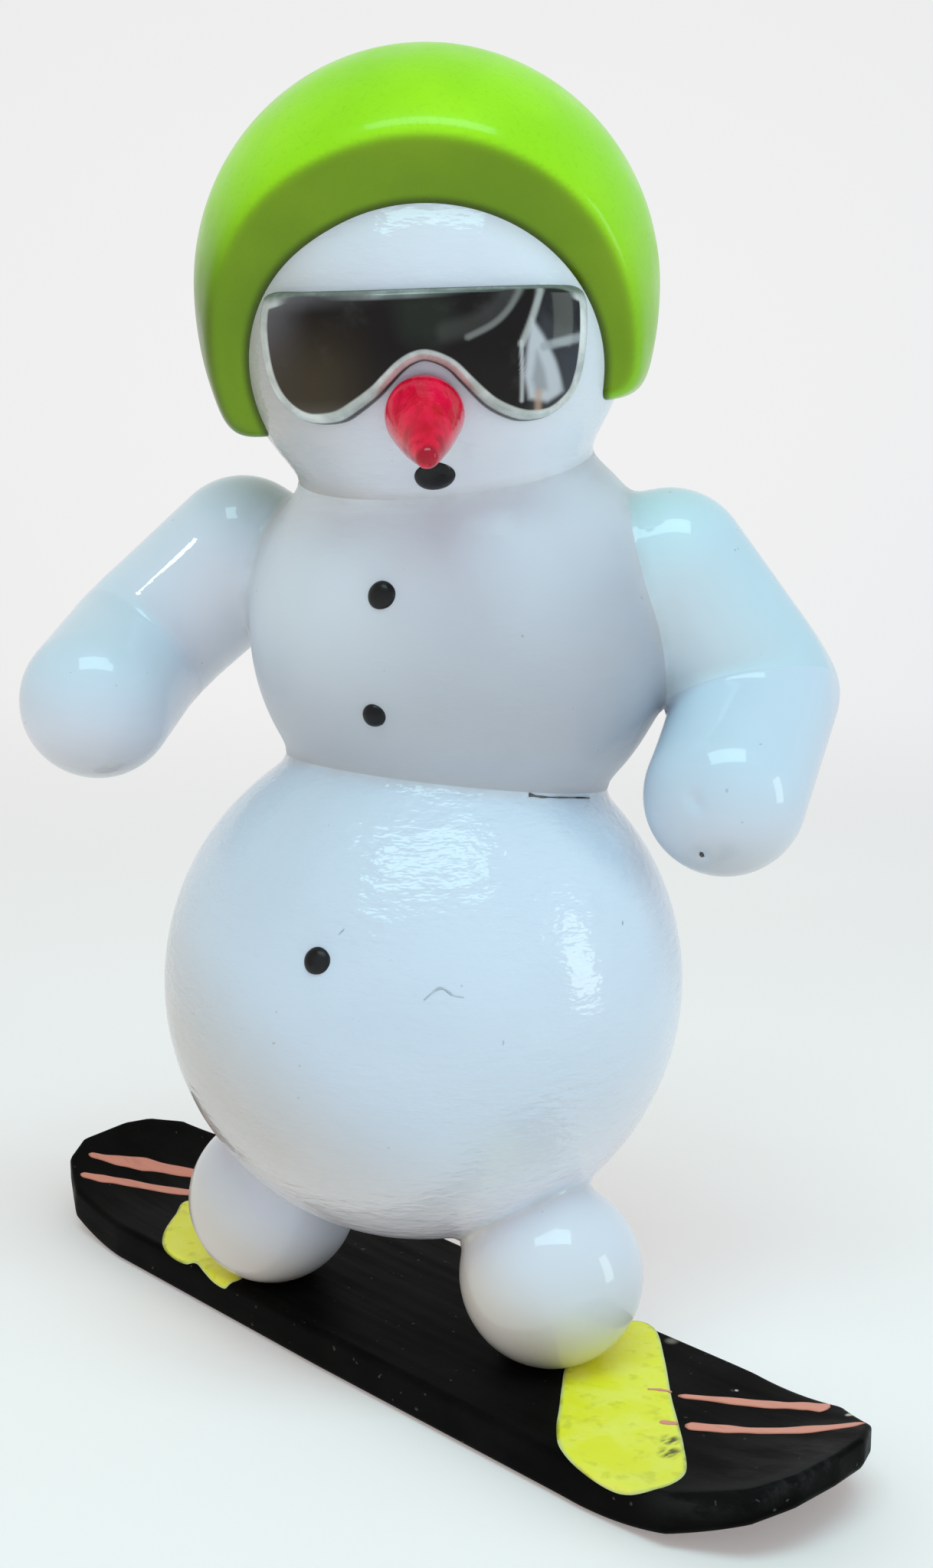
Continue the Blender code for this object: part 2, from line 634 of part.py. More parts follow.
def belly_seat():
    """The belly's ball, a glue line larger, that hollows the tops of the feet."""
    seat = bmesh.new()
    placing = Matrix.Translation(BELLY_CENTRE) @ aim(WAIST_AXIS).to_matrix().to_4x4()
    bmesh.ops.create_uvsphere(seat, u_segments=40, v_segments=20, radius=BELLY_RADIUS + GAP, matrix=placing)
    return make_cutter("belly_seat", seat)


def main():
    clear_scene()
    make_snowboard()
    seat = belly_seat()
    for side, xy in (("left", LEFT_FOOT_XY), ("right", RIGHT_FOOT_XY)):
        make_foot(side, xy, seat)
        make_foot_dowel(side, xy)
        make_dowel(side + "_hip_dowel", hip_point(xy), hip_axis(xy), HIP_DOWEL)
    make_belly()
    make_dowel("waist_dowel", WAIST_POINT, WAIST_AXIS, WAIST_DOWEL)
    make_chest()
    make_dowel("neck_dowel", NECK_POINT, NECK_AXIS, NECK_DOWEL)
    make_head()
    make_helmet()
    make_goggles()
    make_nose()
    make_domed_pin("mouth", HEAD_CENTRE, HEAD_RADIUS, MOUTH_RADIUS,
                   face_direction(MOUTH_HEADING, MOUTH_ELEVATION))
    for name, (centre, ball_radius, radius, _, _) in BUTTON_SPECS.items():
        make_domed_pin(name, centre, ball_radius, radius, button_direction(name))
    make_arm("left", LEFT_SHOULDER, LEFT_ELBOW, LEFT_HAND)
    make_arm("right", RIGHT_SHOULDER, RIGHT_ELBOW, RIGHT_HAND)


main()
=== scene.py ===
"""Looks of the wooden snowman on a snowboard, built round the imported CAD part.

Lengths are millimetres in the part's frame until an object is made, which turns them into metres.
Left and right are the snowman's own.
"""

import math

import bpy
import numpy as np
from mathutils import Matrix, Vector


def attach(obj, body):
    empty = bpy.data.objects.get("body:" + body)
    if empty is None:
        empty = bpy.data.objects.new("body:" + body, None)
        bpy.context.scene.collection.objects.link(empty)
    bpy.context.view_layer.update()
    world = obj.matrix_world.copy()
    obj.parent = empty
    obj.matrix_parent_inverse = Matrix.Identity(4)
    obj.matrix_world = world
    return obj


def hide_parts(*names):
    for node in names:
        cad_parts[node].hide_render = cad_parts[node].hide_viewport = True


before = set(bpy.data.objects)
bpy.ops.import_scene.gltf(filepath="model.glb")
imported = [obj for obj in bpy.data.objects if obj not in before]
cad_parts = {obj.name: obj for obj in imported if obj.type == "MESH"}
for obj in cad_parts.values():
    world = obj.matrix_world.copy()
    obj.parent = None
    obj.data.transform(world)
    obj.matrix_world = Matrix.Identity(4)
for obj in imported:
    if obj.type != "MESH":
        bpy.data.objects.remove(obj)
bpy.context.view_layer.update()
MM = 0.001

# The part's own dimensions.
BELLY = (np.array([0.6, 1.15, 25.75]), 17.5)
CHEST = (np.array([0.8, 4.6, 49.4]), 14.2)
HEAD = (np.array([2.1, 0.6, 68.85]), 12.5)
LEFT_FOOT = (np.array([13.0, 1.0, 8.3]), 6.0)
RIGHT_FOOT = (np.array([-9.5, -4.4, 8.3]), 6.0)
ARM_RADIUS = 5.2
LEFT_ARM = ((12.3, 12.2, 53.55), (15.6, 17.9, 45.15), (18.6, 10.7, 39.6))
RIGHT_ARM = ((-12.5, -3.5, 54.1), (-20.1, -6.9, 47.4), (-15.8, -13.5, 44.4))
HEAD_HEADING = 46.2
HELMET_RADIUS = 14.55
HELMET_SKIRT = 17.4
HELMET_OFFSET = (-0.2, 2.25, 0.4)
HELMET_LEAN = 7.0
HELMET_ROLL = 6.0
HELMET_TILT = 27.5
HELMET_FACE = 6.55
HELMET_HEM = 5.75
HELMET_LAP = 0.45                  # its hollow's wall is this far inside the head's paint
HELMET_SET_BACK = 0.5              # of its front, on the right
HEM_BLEND = 2.4
FACE_BLEND = 1.3
GOGGLE_ROLL = 1.2
GOGGLE_INNER = 12.8
GOGGLE_OUTER = 13.4
BOARD_LENGTH = 72.8
BOARD_WIDTH = 16.6
BOARD_THICKNESS = 2.8
BOARD_NOSE = 12.6
BOARD_POWER = 2.75
BOARD_FLAT = 24.5
BOARD_TOP_RISE = 2.6
BOARD_BASE_RISE = 3.4
BOARD_DRIFT = 0.4
BOARD_DRIFT_RUN = 22.0
BOARD_EDGE = 0.45
BOARD_COUNT = 360                  # vertices round its edge
BOARD_STRAIGHT = 24.0              # between its cut tips the edge is smooth, this far out
BOARD_CUTS = (0.0, 0.018, 0.045, 0.085, 0.415, 0.452, 0.480, 0.497, 0.525, 0.552, 0.590,
              0.905, 0.950, 0.978)  # the tips' hand-cut corners, as shares of a turn
FILM_DEPTH = 0.07                  # of the bindings' paint
STROKE_DEPTH = 0.045               # of the stripes' paint
PAINT_ROOT = 0.05                  # how deep films and marks go below what they lie on

# Paint that bridges the joints, as the reach of each smooth blend.
WAIST_BLEND = 2.2
NECK_BLEND = 3.0
SHOULDER_BLEND = 2.0
HIP_BLEND = 1.8
ELBOW_CREASE = 1.2
ELBOW_CORNER = 3.2
ELBOW_WINDOW = 4.5                 # the elbow is smoothed this far along the arm
ELBOW_SIDES = 3.0                  # and fully so this far from the bend's own plane
FOOT_SINK = 0.02                   # how far the feet's flats go into the board
FOOT_EDGE = 0.25
CREASE_WIDTH = 1.1                 # painted shade darkens the white where two pieces are this near

# Boxes that the nets are laid in.
WHITE_BOX = ((-26.6, -20.5, 1.5), (25.6, 25.2, 83.2))
HELMET_BOX = ((-17.5, -17.5, -8.5), (17.5, 17.5, 18.5))    # from the head's middle

# Small knocks in the white paint: where, how wide and how deep.
DIMPLES = (((20.12, 5.77, 40.26), 0.55, 0.16), ((20.35, 6.05, 39.75), 0.40, 0.10),
           ((20.0, 6.8, 36.45), 0.50, 0.14))

# Mesh sizes for a full picture and for a quick one.
WHITE_CELL = (0.38, 0.55)
HELMET_CELL = (0.26, 0.4)
GOGGLE_STEPS = (12, 6)
GOGGLE_RINGS = (90, 40)

LEFTWARD = (-0.687, -0.727, 0.0)   # the picture's left


def by_quality(sizes):
    return sizes[0]


# ---- fields: distance to a surface, negative inside ----

def unit(vector):
    vector = np.asarray(vector, float)
    return vector / np.linalg.norm(vector)


def row_dots(a, b):
    return np.einsum("ij,ij->i", a, b)


def lengths(rows):
    return np.sqrt(row_dots(rows, rows))


def blend(a, b, reach):
    """How far a smooth join of two fields departs from their sharp one."""
    return (np.maximum(reach - np.abs(a - b), 0) / reach) ** 3 * reach / 6


def smooth_min(a, b, reach):
    return np.minimum(a, b) - blend(a, b, reach)


def smooth_max(a, b, reach):
    return -smooth_min(-a, -b, reach)


def ease(value, low, high):
    share = np.clip((value - low) / (high - low), 0, 1)
    return share * share * (3 - 2 * share)


def ball_field(p, ball):
    return lengths(p - ball[0]) - ball[1]


def rod_field(p, start, through):
    """A rod with a round end at start, running on through the other point."""
    axis = unit(through - start)
    along = np.maximum((p - start) @ axis, 0)
    return lengths(p - start - along[:, None] * axis) - ARM_RADIUS


def elbow_axes(arm):
    shoulder, elbow, hand = (np.array(point) for point in arm)
    inward, outward = unit(elbow - shoulder), unit(hand - elbow)
    return unit(inward + outward), unit(inward - outward)


def arm_field(p, arm):
    """Two rods mitred at the elbow, with the crease filled and the outer corner sanded round."""
    shoulder, elbow, hand = (np.array(point) for point in arm)
    saw, out = elbow_axes(arm)
    upper = rod_field(p, shoulder, elbow)
    fore = rod_field(p, hand, elbow)
    along, outward = (p - elbow) @ saw, (p - elbow) @ out
    nearness = np.clip(1 - (along / ELBOW_WINDOW) ** 2, 0.02, 1)
    crease = blend(upper, fore, ELBOW_CREASE * nearness) * ease(-outward, 0.0, ELBOW_SIDES)
    corner = blend(upper, fore, ELBOW_CORNER * nearness) * ease(outward, 0.0, ELBOW_SIDES)
    return np.where(along > 0, fore, upper) + corner - crease


def foot_field(p, foot):
    return smooth_max(ball_field(p, foot), BOARD_THICKNESS - FOOT_SINK - p[:, 2], FOOT_EDGE)


def white_fields(p):
    """One row for each of belly, chest, head, left foot, right foot, left arm and right arm."""
    return np.stack([
        ball_field(p, BELLY), ball_field(p, CHEST), ball_field(p, HEAD),
        foot_field(p, LEFT_FOOT), foot_field(p, RIGHT_FOOT),
        arm_field(p, LEFT_ARM), arm_field(p, RIGHT_ARM)])


def white_surface(p):
    """All the white pieces, with paint bridging their joints."""
    belly, chest, head, left_foot, right_foot, left_arm, right_arm = white_fields(p)
    top = smooth_min(smooth_min(chest, left_arm, SHOULDER_BLEND), right_arm, SHOULDER_BLEND)
    body = smooth_min(smooth_min(belly, top, WAIST_BLEND), head, NECK_BLEND)
    body = smooth_min(smooth_min(body, left_foot, HIP_BLEND), right_foot, HIP_BLEND)
    for centre, radius, depth in DIMPLES:
        body += depth * np.exp(-(lengths(p - np.array(centre)) / radius) ** 2)
    return body


def head_axes():
    turn = math.radians(HEAD_HEADING)
    forward = np.array([math.sin(turn), -math.cos(turn), 0.0])
    up = np.array([0.0, 0.0, 1.0])
    return np.cross(up, forward), up, forward


ACROSS, UP, FORWARD = head_axes()


def helmet_shell(p):
    """A leaning dome with a longer skirt, cut in front and below; and the front cut by itself."""
    lean, tilt, roll = (math.radians(a) for a in (HELMET_LEAN, HELMET_TILT, HELMET_ROLL))
    across, up, forward = HELMET_OFFSET
    centre = HEAD[0] + ACROSS * across + UP * up + FORWARD * forward
    axis = UP * math.cos(lean) - FORWARD * math.sin(lean)
    height = (p - centre) @ axis
    level = p - centre - height[:, None] * axis
    height = np.where(height < 0, height * HELMET_RADIUS / HELMET_SKIRT, height)
    dome = np.sqrt(lengths(level) ** 2 + height ** 2) - HELMET_RADIUS
    face = (p - HEAD[0]) @ (FORWARD * math.cos(tilt) - UP * math.sin(tilt)) - HELMET_FACE
    face += HELMET_SET_BACK * ease((HEAD[0] - p) @ ACROSS, 5.0, 12.0)
    hem = (p - HEAD[0]) @ (ACROSS * math.sin(roll) - UP * math.cos(roll)) - HELMET_HEM
    return smooth_max(smooth_max(dome, hem, HEM_BLEND), face, FACE_BLEND), face


def helmet_surface(p):
    """The shell less its hollow, whose wall is just below the head's paint."""
    return np.maximum(helmet_shell(p)[0], -HELMET_LAP - ball_field(p, HEAD))


# ---- meshes from fields ----

def gradient(field, p, step=0.02):
    sides = [(field(p + shift) - field(p - shift)) / (2 * step) for shift in np.eye(3) * step]
    return np.stack(sides, 1)


def surface_normals(field, p):
    slope = gradient(field, p)
    return slope / lengths(slope)[:, None]


def settle(field, p, rounds):
    """Move points down the field's slope until they are on its surface."""
    for _ in range(rounds):
        slope = gradient(field, p)
        p = p - slope * (field(p) / row_dots(slope, slope))[:, None]
    return p


def surface_net(field, low, high, cell):
    """The field's zero surface in quads, with one vertex in each grid cube that it crosses."""
    axes = [np.arange(a, b, cell) for a, b in zip(low, high)]
    shape = tuple(len(axis) for axis in axes)
    grid = np.stack(np.meshgrid(*axes, indexing="ij"), -1).reshape(-1, 3)
    inside = (field(grid) < 0).reshape(shape)
    count = np.zeros(tuple(n - 1 for n in shape), int)
    for i in (0, 1):
        for j in (0, 1):
            for k in (0, 1):
                count += inside[i:shape[0] - 1 + i, j:shape[1] - 1 + j, k:shape[2] - 1 + k]
    mixed = (count > 0) & (count < 8)
    index = np.full(mixed.shape, -1)
    index[mixed] = np.arange(mixed.sum())
    points = np.array(low) + (np.argwhere(mixed) + 0.5) * cell
    quads = []
    for axis in range(3):
        b, c = (axis + 1) % 3, (axis + 2) % 3
        lower = inside.take(range(shape[axis] - 1), axis)
        upper = inside.take(range(1, shape[axis]), axis)
        at = np.argwhere(lower != upper)
        outward = lower[tuple(at.T)]
        ring = []
        for back_b, back_c in ((1, 1), (0, 1), (0, 0), (1, 0)):
            cube = at.copy()
            cube[:, b] -= back_b
            cube[:, c] -= back_c
            ring.append(index[tuple(cube.T)])
        ring = np.stack(ring, 1)
        ring[~outward] = ring[~outward][:, ::-1]
        quads.append(ring)
    return points, np.concatenate(quads)


def relax(field, points, quads, rounds):
    """Even out the vertices and bring them back onto the surface."""
    edges = np.concatenate([quads[:, [i, (i + 1) % 4]] for i in range(4)])
    edges = np.unique(np.sort(edges, 1), axis=0)
    degree = np.bincount(edges.ravel(), minlength=len(points))[:, None]
    for _ in range(rounds):
        total = np.zeros_like(points)
        for axis in range(3):
            for a, b in ((0, 1), (1, 0)):
                total[:, axis] += np.bincount(
                    edges[:, a], weights=points[edges[:, b], axis], minlength=len(points))
        points = settle(field, total / degree, 2)
    return points


def net(field, box, cell, rounds):
    points, quads = surface_net(field, *box, cell)
    return relax(field, settle(field, points, 4), quads, rounds), quads


# ---- making objects ----

def add_object(name, data):
    thing = bpy.data.objects.new(name, data)
    bpy.context.scene.collection.objects.link(thing)
    return thing


def make_piece(name, points, faces, material, replaces=(), normals=None):
    """A mesh in millimetres becomes an object that rides on the part's one body."""
    mesh = bpy.data.meshes.new(name)
    points = np.asarray(points, float) * MM
    mesh.from_pydata(points.tolist(), [], [list(map(int, face)) for face in faces])
    mesh.validate()
    mesh.shade_smooth()
    if normals is not None:
        mesh.normals_split_custom_set_from_vertices(np.asarray(normals).tolist())
    mesh.materials.append(material)
    piece = add_object(name, mesh)
    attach(piece, "root")
    if replaces:
        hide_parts(*replaces)
    return piece


def add_values(piece, name, values, rest=1.0):
    """Store a number for each vertex: the last vertices get the rest's."""
    extra = len(piece.data.vertices) - len(values)
    values = np.concatenate([values, np.full(extra, rest)])
    attribute = piece.data.attributes.new(name, "FLOAT", "POINT")
    attribute.data.foreach_set("value", values.astype(np.float32))


def add_colours(piece, name, colours, rest=1.0):
    extra = len(piece.data.vertices) - len(colours)
    colours = np.concatenate([colours, np.full((extra, 3), rest)])
    attribute = piece.data.color_attributes.new(name, "FLOAT_COLOR", "POINT")
    rgba = np.concatenate([colours, np.ones((len(colours), 1))], 1)
    attribute.data.foreach_set("color", rgba.astype(np.float32).ravel())


def layers(colours):
    """A call that lays a colour over the rows of an array, by a share for each row."""
    def lay(share, colour):
        colours[:] = colours + (np.array(colour) - colours) * share[:, None]

    return lay


def opening_loops(faces):
    """The loops of vertices round a shell's openings, cut apart where a loop touches itself."""
    edges = {(int(a), int(b)) for face in faces for a, b in zip(face, np.roll(face, -1))}
    following = {}
    for a, b in sorted(edges):
        if (b, a) not in edges:
            following.setdefault(b, []).append(a)
    loops = []
    while following:
        path = [min(following)]
        while path[-1] in following:
            here = path[-1]
            there = following[here].pop()
            if not following[here]:
                del following[here]
            if there in path:
                cut = path.index(there)
                loops.append(path[cut:])
                path = path[:cut + 1]
            else:
                path.append(there)
    return loops


def close_openings(points, faces):
    """Fill each opening of a shell with a fan round its middle."""
    points = list(points)
    fans = []
    for loop in opening_loops(faces):
        middle = len(points)
        points.append(np.mean([points[vertex] for vertex in loop], 0))
        fans += [(a, b, middle) for a, b in zip(loop, loop[1:] + loop[:1])]
    return np.array(points), fans


def catmull(points, steps, closed=True):
    """A smooth line through the points."""
    points = np.asarray(points, float)
    count = len(points)
    line = []
    for i in range(count if closed else count - 1):
        if closed:
            a, b, c, d = (points[(i + k) % count] for k in (-1, 0, 1, 2))
        else:
            a, b, c, d = (points[min(max(i + k, 0), count - 1)] for k in (-1, 0, 1, 2))
        for step in range(steps):
            t = step / steps
            line.append(0.5 * (2 * b + (c - a) * t + (2 * a - 5 * b + 4 * c - d) * t ** 2
                               + (3 * b - a - 3 * c + d) * t ** 3))
    if not closed:
        line.append(points[-1])
    return np.array(line)


def disc_faces(rings, count):
    """A fan round a middle vertex, and quads between the rings of count vertices round it."""
    faces = [(0, (i + 1) % count + 1, i + 1) for i in range(count)]
    for ring in range(rings - 1):
        for i in range(count):
            a = 1 + ring * count + i
            b = 1 + ring * count + (i + 1) % count
            faces.append((a, b, b + count, a + count))
    return faces


def capped_faces(rings, count):
    """A disc's faces closed by a fan round one more vertex."""
    last, tip = 1 + (rings - 1) * count, 1 + rings * count
    fan = [(tip, last + i, last + (i + 1) % count) for i in range(count)]
    return disc_faces(rings, count) + fan


def flipped(faces):
    return [(face[0], *face[:0:-1]) for face in faces]


def spread(outline, middle, rings, crowding):
    """A middle point and rings of points out to a closed outline, closer together near it."""
    shares = 1 - (1 - np.linspace(0, 1, rings + 1)[1:]) ** crowding
    return np.concatenate([[middle]] + [middle + (outline - middle) * share for share in shares])


# ---- materials ----

class Nodes:
    """Short calls for building a node tree."""

    def __init__(self, owner):
        owner.use_nodes = True
        self.tree = owner.node_tree

    def add(self, kind, **settings):
        node = self.tree.nodes.new(kind)
        for key, value in settings.items():
            setattr(node, key, value)
        return node

    def put(self, socket, value):
        if isinstance(value, bpy.types.NodeSocket):
            self.tree.links.new(value, socket)
        elif isinstance(value, (tuple, list)) and len(value) == 3 and socket.type == "RGBA":
            socket.default_value = (*value, 1.0)
        else:
            socket.default_value = value

    def math(self, operation, a, b=0.0):
        node = self.add("ShaderNodeMath", operation=operation)
        self.put(node.inputs[0], a)
        self.put(node.inputs[1], b)
        return node.outputs[0]

    def times(self, a, b):
        return self.math("MULTIPLY", a, b)

    def plus(self, a, b):
        return self.math("ADD", a, b)

    def vector(self, operation, a, b=None):
        node = self.add("ShaderNodeVectorMath", operation=operation)
        self.put(node.inputs[0], a)
        if b is not None:
            self.put(node.inputs["Scale" if operation == "SCALE" else 1], b)
        gives_number = operation in ("DOT_PRODUCT", "DISTANCE", "LENGTH")
        return node.outputs["Value" if gives_number else "Vector"]


class Paint(Nodes):
    """A material's node tree round its one shader."""

    def __init__(self, name):
        self.material = bpy.data.materials.new(name)
        super().__init__(self.material)
        self.shader = self.tree.nodes["Principled BSDF"]
        self.place = self.add("ShaderNodeTexCoord").outputs["Object"]

    def set(self, **values):
        """Set the shader's sockets: spaces in a socket's name are underscores here."""
        for key, value in values.items():
            self.put(self.shader.inputs[key.replace("_", " ")], value)

    def noise(self, scale, detail=2.0, roughness=0.5, stretch=None):
        place = self.place
        if stretch is not None:
            mapping = self.add("ShaderNodeMapping")
            self.put(mapping.inputs["Vector"], place)
            mapping.inputs["Rotation"].default_value = stretch[0]
            mapping.inputs["Scale"].default_value = stretch[1]
            place = mapping.outputs[0]
        node = self.add("ShaderNodeTexNoise")
        self.put(node.inputs["Vector"], place)
        self.put(node.inputs["Scale"], scale)
        self.put(node.inputs["Detail"], detail)
        self.put(node.inputs["Roughness"], roughness)
        return node.outputs["Fac"]

    def between(self, value, low, high, to_low=0.0, to_high=1.0):
        """Smooth step of a value from one range to another."""
        node = self.add("ShaderNodeMapRange", interpolation_type="SMOOTHSTEP")
        for key, number in (("Value", value), ("From Min", low), ("From Max", high),
                            ("To Min", to_low), ("To Max", to_high)):
            self.put(node.inputs[key], number)
        return node.outputs[0]

    def mix(self, share, a, b, kind="MIX"):
        node = self.add("ShaderNodeMix", data_type="RGBA", blend_type=kind)
        self.put(node.inputs["Factor"], share)
        self.put(node.inputs[6], a)
        self.put(node.inputs[7], b)
        return node.outputs[2]

    def vary(self, value, low, high, a, b):
        """Colour a where the value is low, turning to b where it is high."""
        return self.mix(self.between(value, low, high), a, b)

    def gloss(self, value, low, high, level=0.5):
        """Roughness that goes from low to high with a noise, and the specular level."""
        self.set(Roughness=self.between(value, 0.3, 0.7, low, high), Specular_IOR_Level=level)

    def attribute(self, name, output="Fac"):
        return self.add("ShaderNodeAttribute", attribute_name=name).outputs[output]

    def bump(self, *layers):
        """Each layer is a height from 0 to 1 and its depth in millimetres. The coat has it too."""
        normal = None
        for height, depth in layers:
            node = self.add("ShaderNodeBump")
            node.inputs["Distance"].default_value = depth * MM
            self.put(node.inputs["Height"], height)
            if normal is not None:
                self.put(node.inputs["Normal"], normal)
            normal = node.outputs[0]
        self.put(self.shader.inputs["Normal"], normal)
        self.put(self.shader.inputs["Coat Normal"], normal)

    def near(self, centre, radius, fade):
        """1 within radius of a point in millimetres, falling to 0 over the fade."""
        away = self.vector("DISTANCE", self.place, [c * MM for c in centre])
        return self.between(away, radius * MM, (radius + fade) * MM, 1.0, 0.0)


def white_lacquer(name, coat, coat_roughness, flake_depth, ripple_depth):
    n = Paint(name)
    white = n.vary(n.noise(70, 3), 0.35, 0.7, (0.76, 0.775, 0.845), (0.81, 0.825, 0.895))
    # Painted light and shade, multiplied in from the tint attribute.
    white = n.mix(1.0, white, n.attribute("tint", "Color"), "MULTIPLY")
    # Painted shade in the creases where two pieces meet, grey and patchy.
    crease = n.times(n.attribute("crease"), n.between(n.noise(500, 3), 0.3, 0.7, 0.35, 1.0))
    crease_shaded = n.mix(n.times(crease, 0.36), white, (0.50, 0.50, 0.47))
    specks = n.between(n.noise(1700, 1), 0.79, 0.81)
    n.set(Base_Color=n.mix(n.times(specks, 0.35), crease_shaded, (0.25, 0.23, 0.20)))
    n.gloss(n.noise(260, 3), 0.34, 0.48, 0.22)
    n.set(Coat_Weight=coat, Coat_Roughness=coat_roughness, IOR=1.5)
    flakes = n.noise(1, 2.5, 0.6, ((0, 0, 0), (620, 620, 1700)))
    patches = n.between(n.noise(60, 2), 0.40, 0.60, 0.35, 1.0)
    n.bump((n.times(flakes, patches), flake_depth), (n.noise(330, 2.5, 0.6), ripple_depth),
           (n.noise(1500, 2), 0.004))
    return n.material


def helmet_lacquer():
    """Lime on the dome, with painted shade: deeper on its shaded side, olive on its cut front,
    which faces down, and dark where it meets the head.
    """
    n = Paint("lime_lacquer")
    cloud = n.noise(120, 3)
    lime = n.vary(cloud, 0.3, 0.7, (0.35, 0.82, 0.006), (0.42, 0.92, 0.010))
    deep = n.vary(cloud, 0.3, 0.7, (0.12, 0.20, 0.003), (0.15, 0.25, 0.004))
    olive = n.vary(cloud, 0.3, 0.7, (0.180, 0.33, 0.003), (0.225, 0.39, 0.005))
    # Painted shade: deeper green on the shaded side, olive on the cut front that faces down.
    paint = n.mix(n.attribute("front"), n.mix(n.attribute("side"), lime, deep), olive)
    # Painted shadow where the helmet meets the head.
    paint = n.mix(n.times(n.attribute("contact"), 0.85), paint, (0.035, 0.055, 0.004))
    grain = n.between(n.noise(3000, 2, 0.7), 0.5, 0.75, 0.0, 0.10)
    n.set(Base_Color=n.mix(grain, paint, (0.10, 0.27, 0.008)))
    n.gloss(n.noise(400, 3), 0.26, 0.38, 0.16)
    n.set(Coat_Weight=0.26, Coat_Roughness=0.07, IOR=1.47)
    n.bump((n.noise(300, 2), 0.022), (n.noise(1800, 2), 0.004))
    return n.material


def red_lacquer(axis):
    """Crimson brushed along the nose, with painted shade on its underside, and darker in patches
    at the tip.
    """
    n = Paint("red_lacquer")
    turn = Vector(axis).to_track_quat("Z", "Y").inverted().to_euler()
    streak = n.noise(1, 3, 0.6, (tuple(turn), (900, 900, 160)))
    patch = n.noise(700, 3, 0.6)
    paint = n.vary(streak, 0.3, 0.7, (0.66, 0.0012, 0.022), (0.99, 0.0040, 0.060))
    # Painted shade on the nose's underside.
    paint = n.mix(n.between(n.attribute("under"), 0.0, 1.0), paint, (0.40, 0.0008, 0.016))
    tip = n.times(n.between(n.attribute("tip"), 0.50, 0.85), n.between(patch, 0.38, 0.55))
    n.set(Base_Color=n.mix(n.times(tip, 0.8), paint, (0.36, 0.0009, 0.014)))
    n.gloss(streak, 0.22, 0.32, 0.12)
    n.set(Coat_Weight=0.55, Coat_Roughness=0.03)
    n.bump((streak, 0.060), (patch, 0.035))
    return n.material


def black_dot_paint():
    n = Paint("black_lacquer")
    cloud = n.noise(900, 3)
    n.set(Base_Color=n.vary(cloud, 0.35, 0.7, (0.006, 0.005, 0.006), (0.016, 0.015, 0.015)))
    n.gloss(n.noise(700, 2), 0.22, 0.40, 0.25)
    n.bump((n.noise(900, 2), 0.02),)
    return n.material


def board_paint():
    """Black brushed along the board, dusty, with a painted sheen on the rounded edge near its +X
    tip, and three chips.
    """
    n = Paint("board_paint")
    brush = n.noise(1, 4, 0.65, ((0, 0, 0.05), (45, 700, 700)))
    black = n.vary(n.noise(160, 4), 0.35, 0.7, (0.0026, 0.0024, 0.0021), (0.0058, 0.0053, 0.0048))
    dust = n.between(n.noise(1900, 1), 0.745, 0.78)
    dusty = n.mix(n.times(dust, 0.25), black, (0.20, 0.19, 0.18))
    # Painted sheen: light glancing off the rounded edge near the +X tip, held by the rubbed
    # attribute and broken up by the brushing.
    rubbed = n.times(n.attribute("rubbed"), n.between(brush, 0.40, 0.62, 0.25, 1.0))
    dust_and_sheen = n.mix(rubbed, dusty, (0.022, 0.022, 0.022))
    chips = n.plus(n.near((32.7, 6.6, 4.02), 0.12, 0.22), n.near((24.7, 5.8, 2.8), 0.05, 0.12))
    chips = n.plus(chips, n.times(n.near((17.5, 7.9, 2.8), 0.10, 0.5), 0.30))
    n.set(Base_Color=n.mix(chips, dust_and_sheen, (0.62, 0.55, 0.44)))
    n.gloss(brush, 0.36, 0.55, 0.018)
    n.bump((brush, 0.012), (n.noise(900, 3), 0.010))
    return n.material


def stripe_paint():
    n = Paint("stripe_pink")
    streak = n.noise(1, 4, 0.6, ((0, 0, 0.5), (160, 1500, 900)))
    cover = n.times(n.between(n.attribute("edge"), 0.0, 0.30, 0.30, 1.0),
                    n.between(streak, 0.25, 0.5, 0.78, 1.0))
    n.set(Base_Color=n.mix(cover, (0.30, 0.09, 0.06), (0.86, 0.33, 0.235)))
    n.gloss(streak, 0.38, 0.55, 0.25)
    n.bump((streak, 0.03),)
    return n.material


def binding_paint():
    """Thick yellow: mottled, olive or chalky where it thins at its edge, rubbed in one place."""
    n = Paint("binding_yellow")
    mottle = n.noise(420, 4, 0.6)
    fine = n.noise(1800, 3, 0.6)
    yellow = n.vary(mottle, 0.38, 0.66, (0.95, 0.93, 0.030), (0.98, 0.96, 0.12))
    yellow = n.mix(n.between(n.noise(900, 3), 0.52, 0.72, 0.0, 0.6), yellow, (0.72, 0.70, 0.03))
    rim = n.vary(n.noise(260, 2), 0.46, 0.60, (0.66, 0.72, 0.28), (0.30, 0.32, 0.01))
    cover = n.between(n.plus(n.attribute("edge"), n.times(fine, 0.25)), 0.12, 0.42)
    brushed = n.noise(1, 3, 0.6, ((0, 0, 0.75), (2600, 600, 900)))
    rubbed = n.math("MAXIMUM", n.near((25.9, -2.0, 2.85), 0.20, 0.65),
                    n.near((27.0, -3.2, 2.85), 0.25, 0.75))
    rubbed = n.times(rubbed, n.between(brushed, 0.40, 0.58, 0.15, 0.95))
    n.set(Base_Color=n.mix(rubbed, n.mix(cover, rim, yellow), (0.035, 0.038, 0.012)))
    n.gloss(mottle, 0.34, 0.50, 0.3)
    n.bump((mottle, 0.05), (fine, 0.012))
    return n.material


def mark_paint(name, dark, light, roughness, grain_depth):
    n = Paint(name)
    n.set(Base_Color=n.vary(n.noise(1500, 3), 0.35, 0.65, dark, light))
    n.gloss(n.noise(900, 2), roughness, roughness + 0.2)
    n.bump((n.noise(2500, 2), grain_depth),)
    return n.material


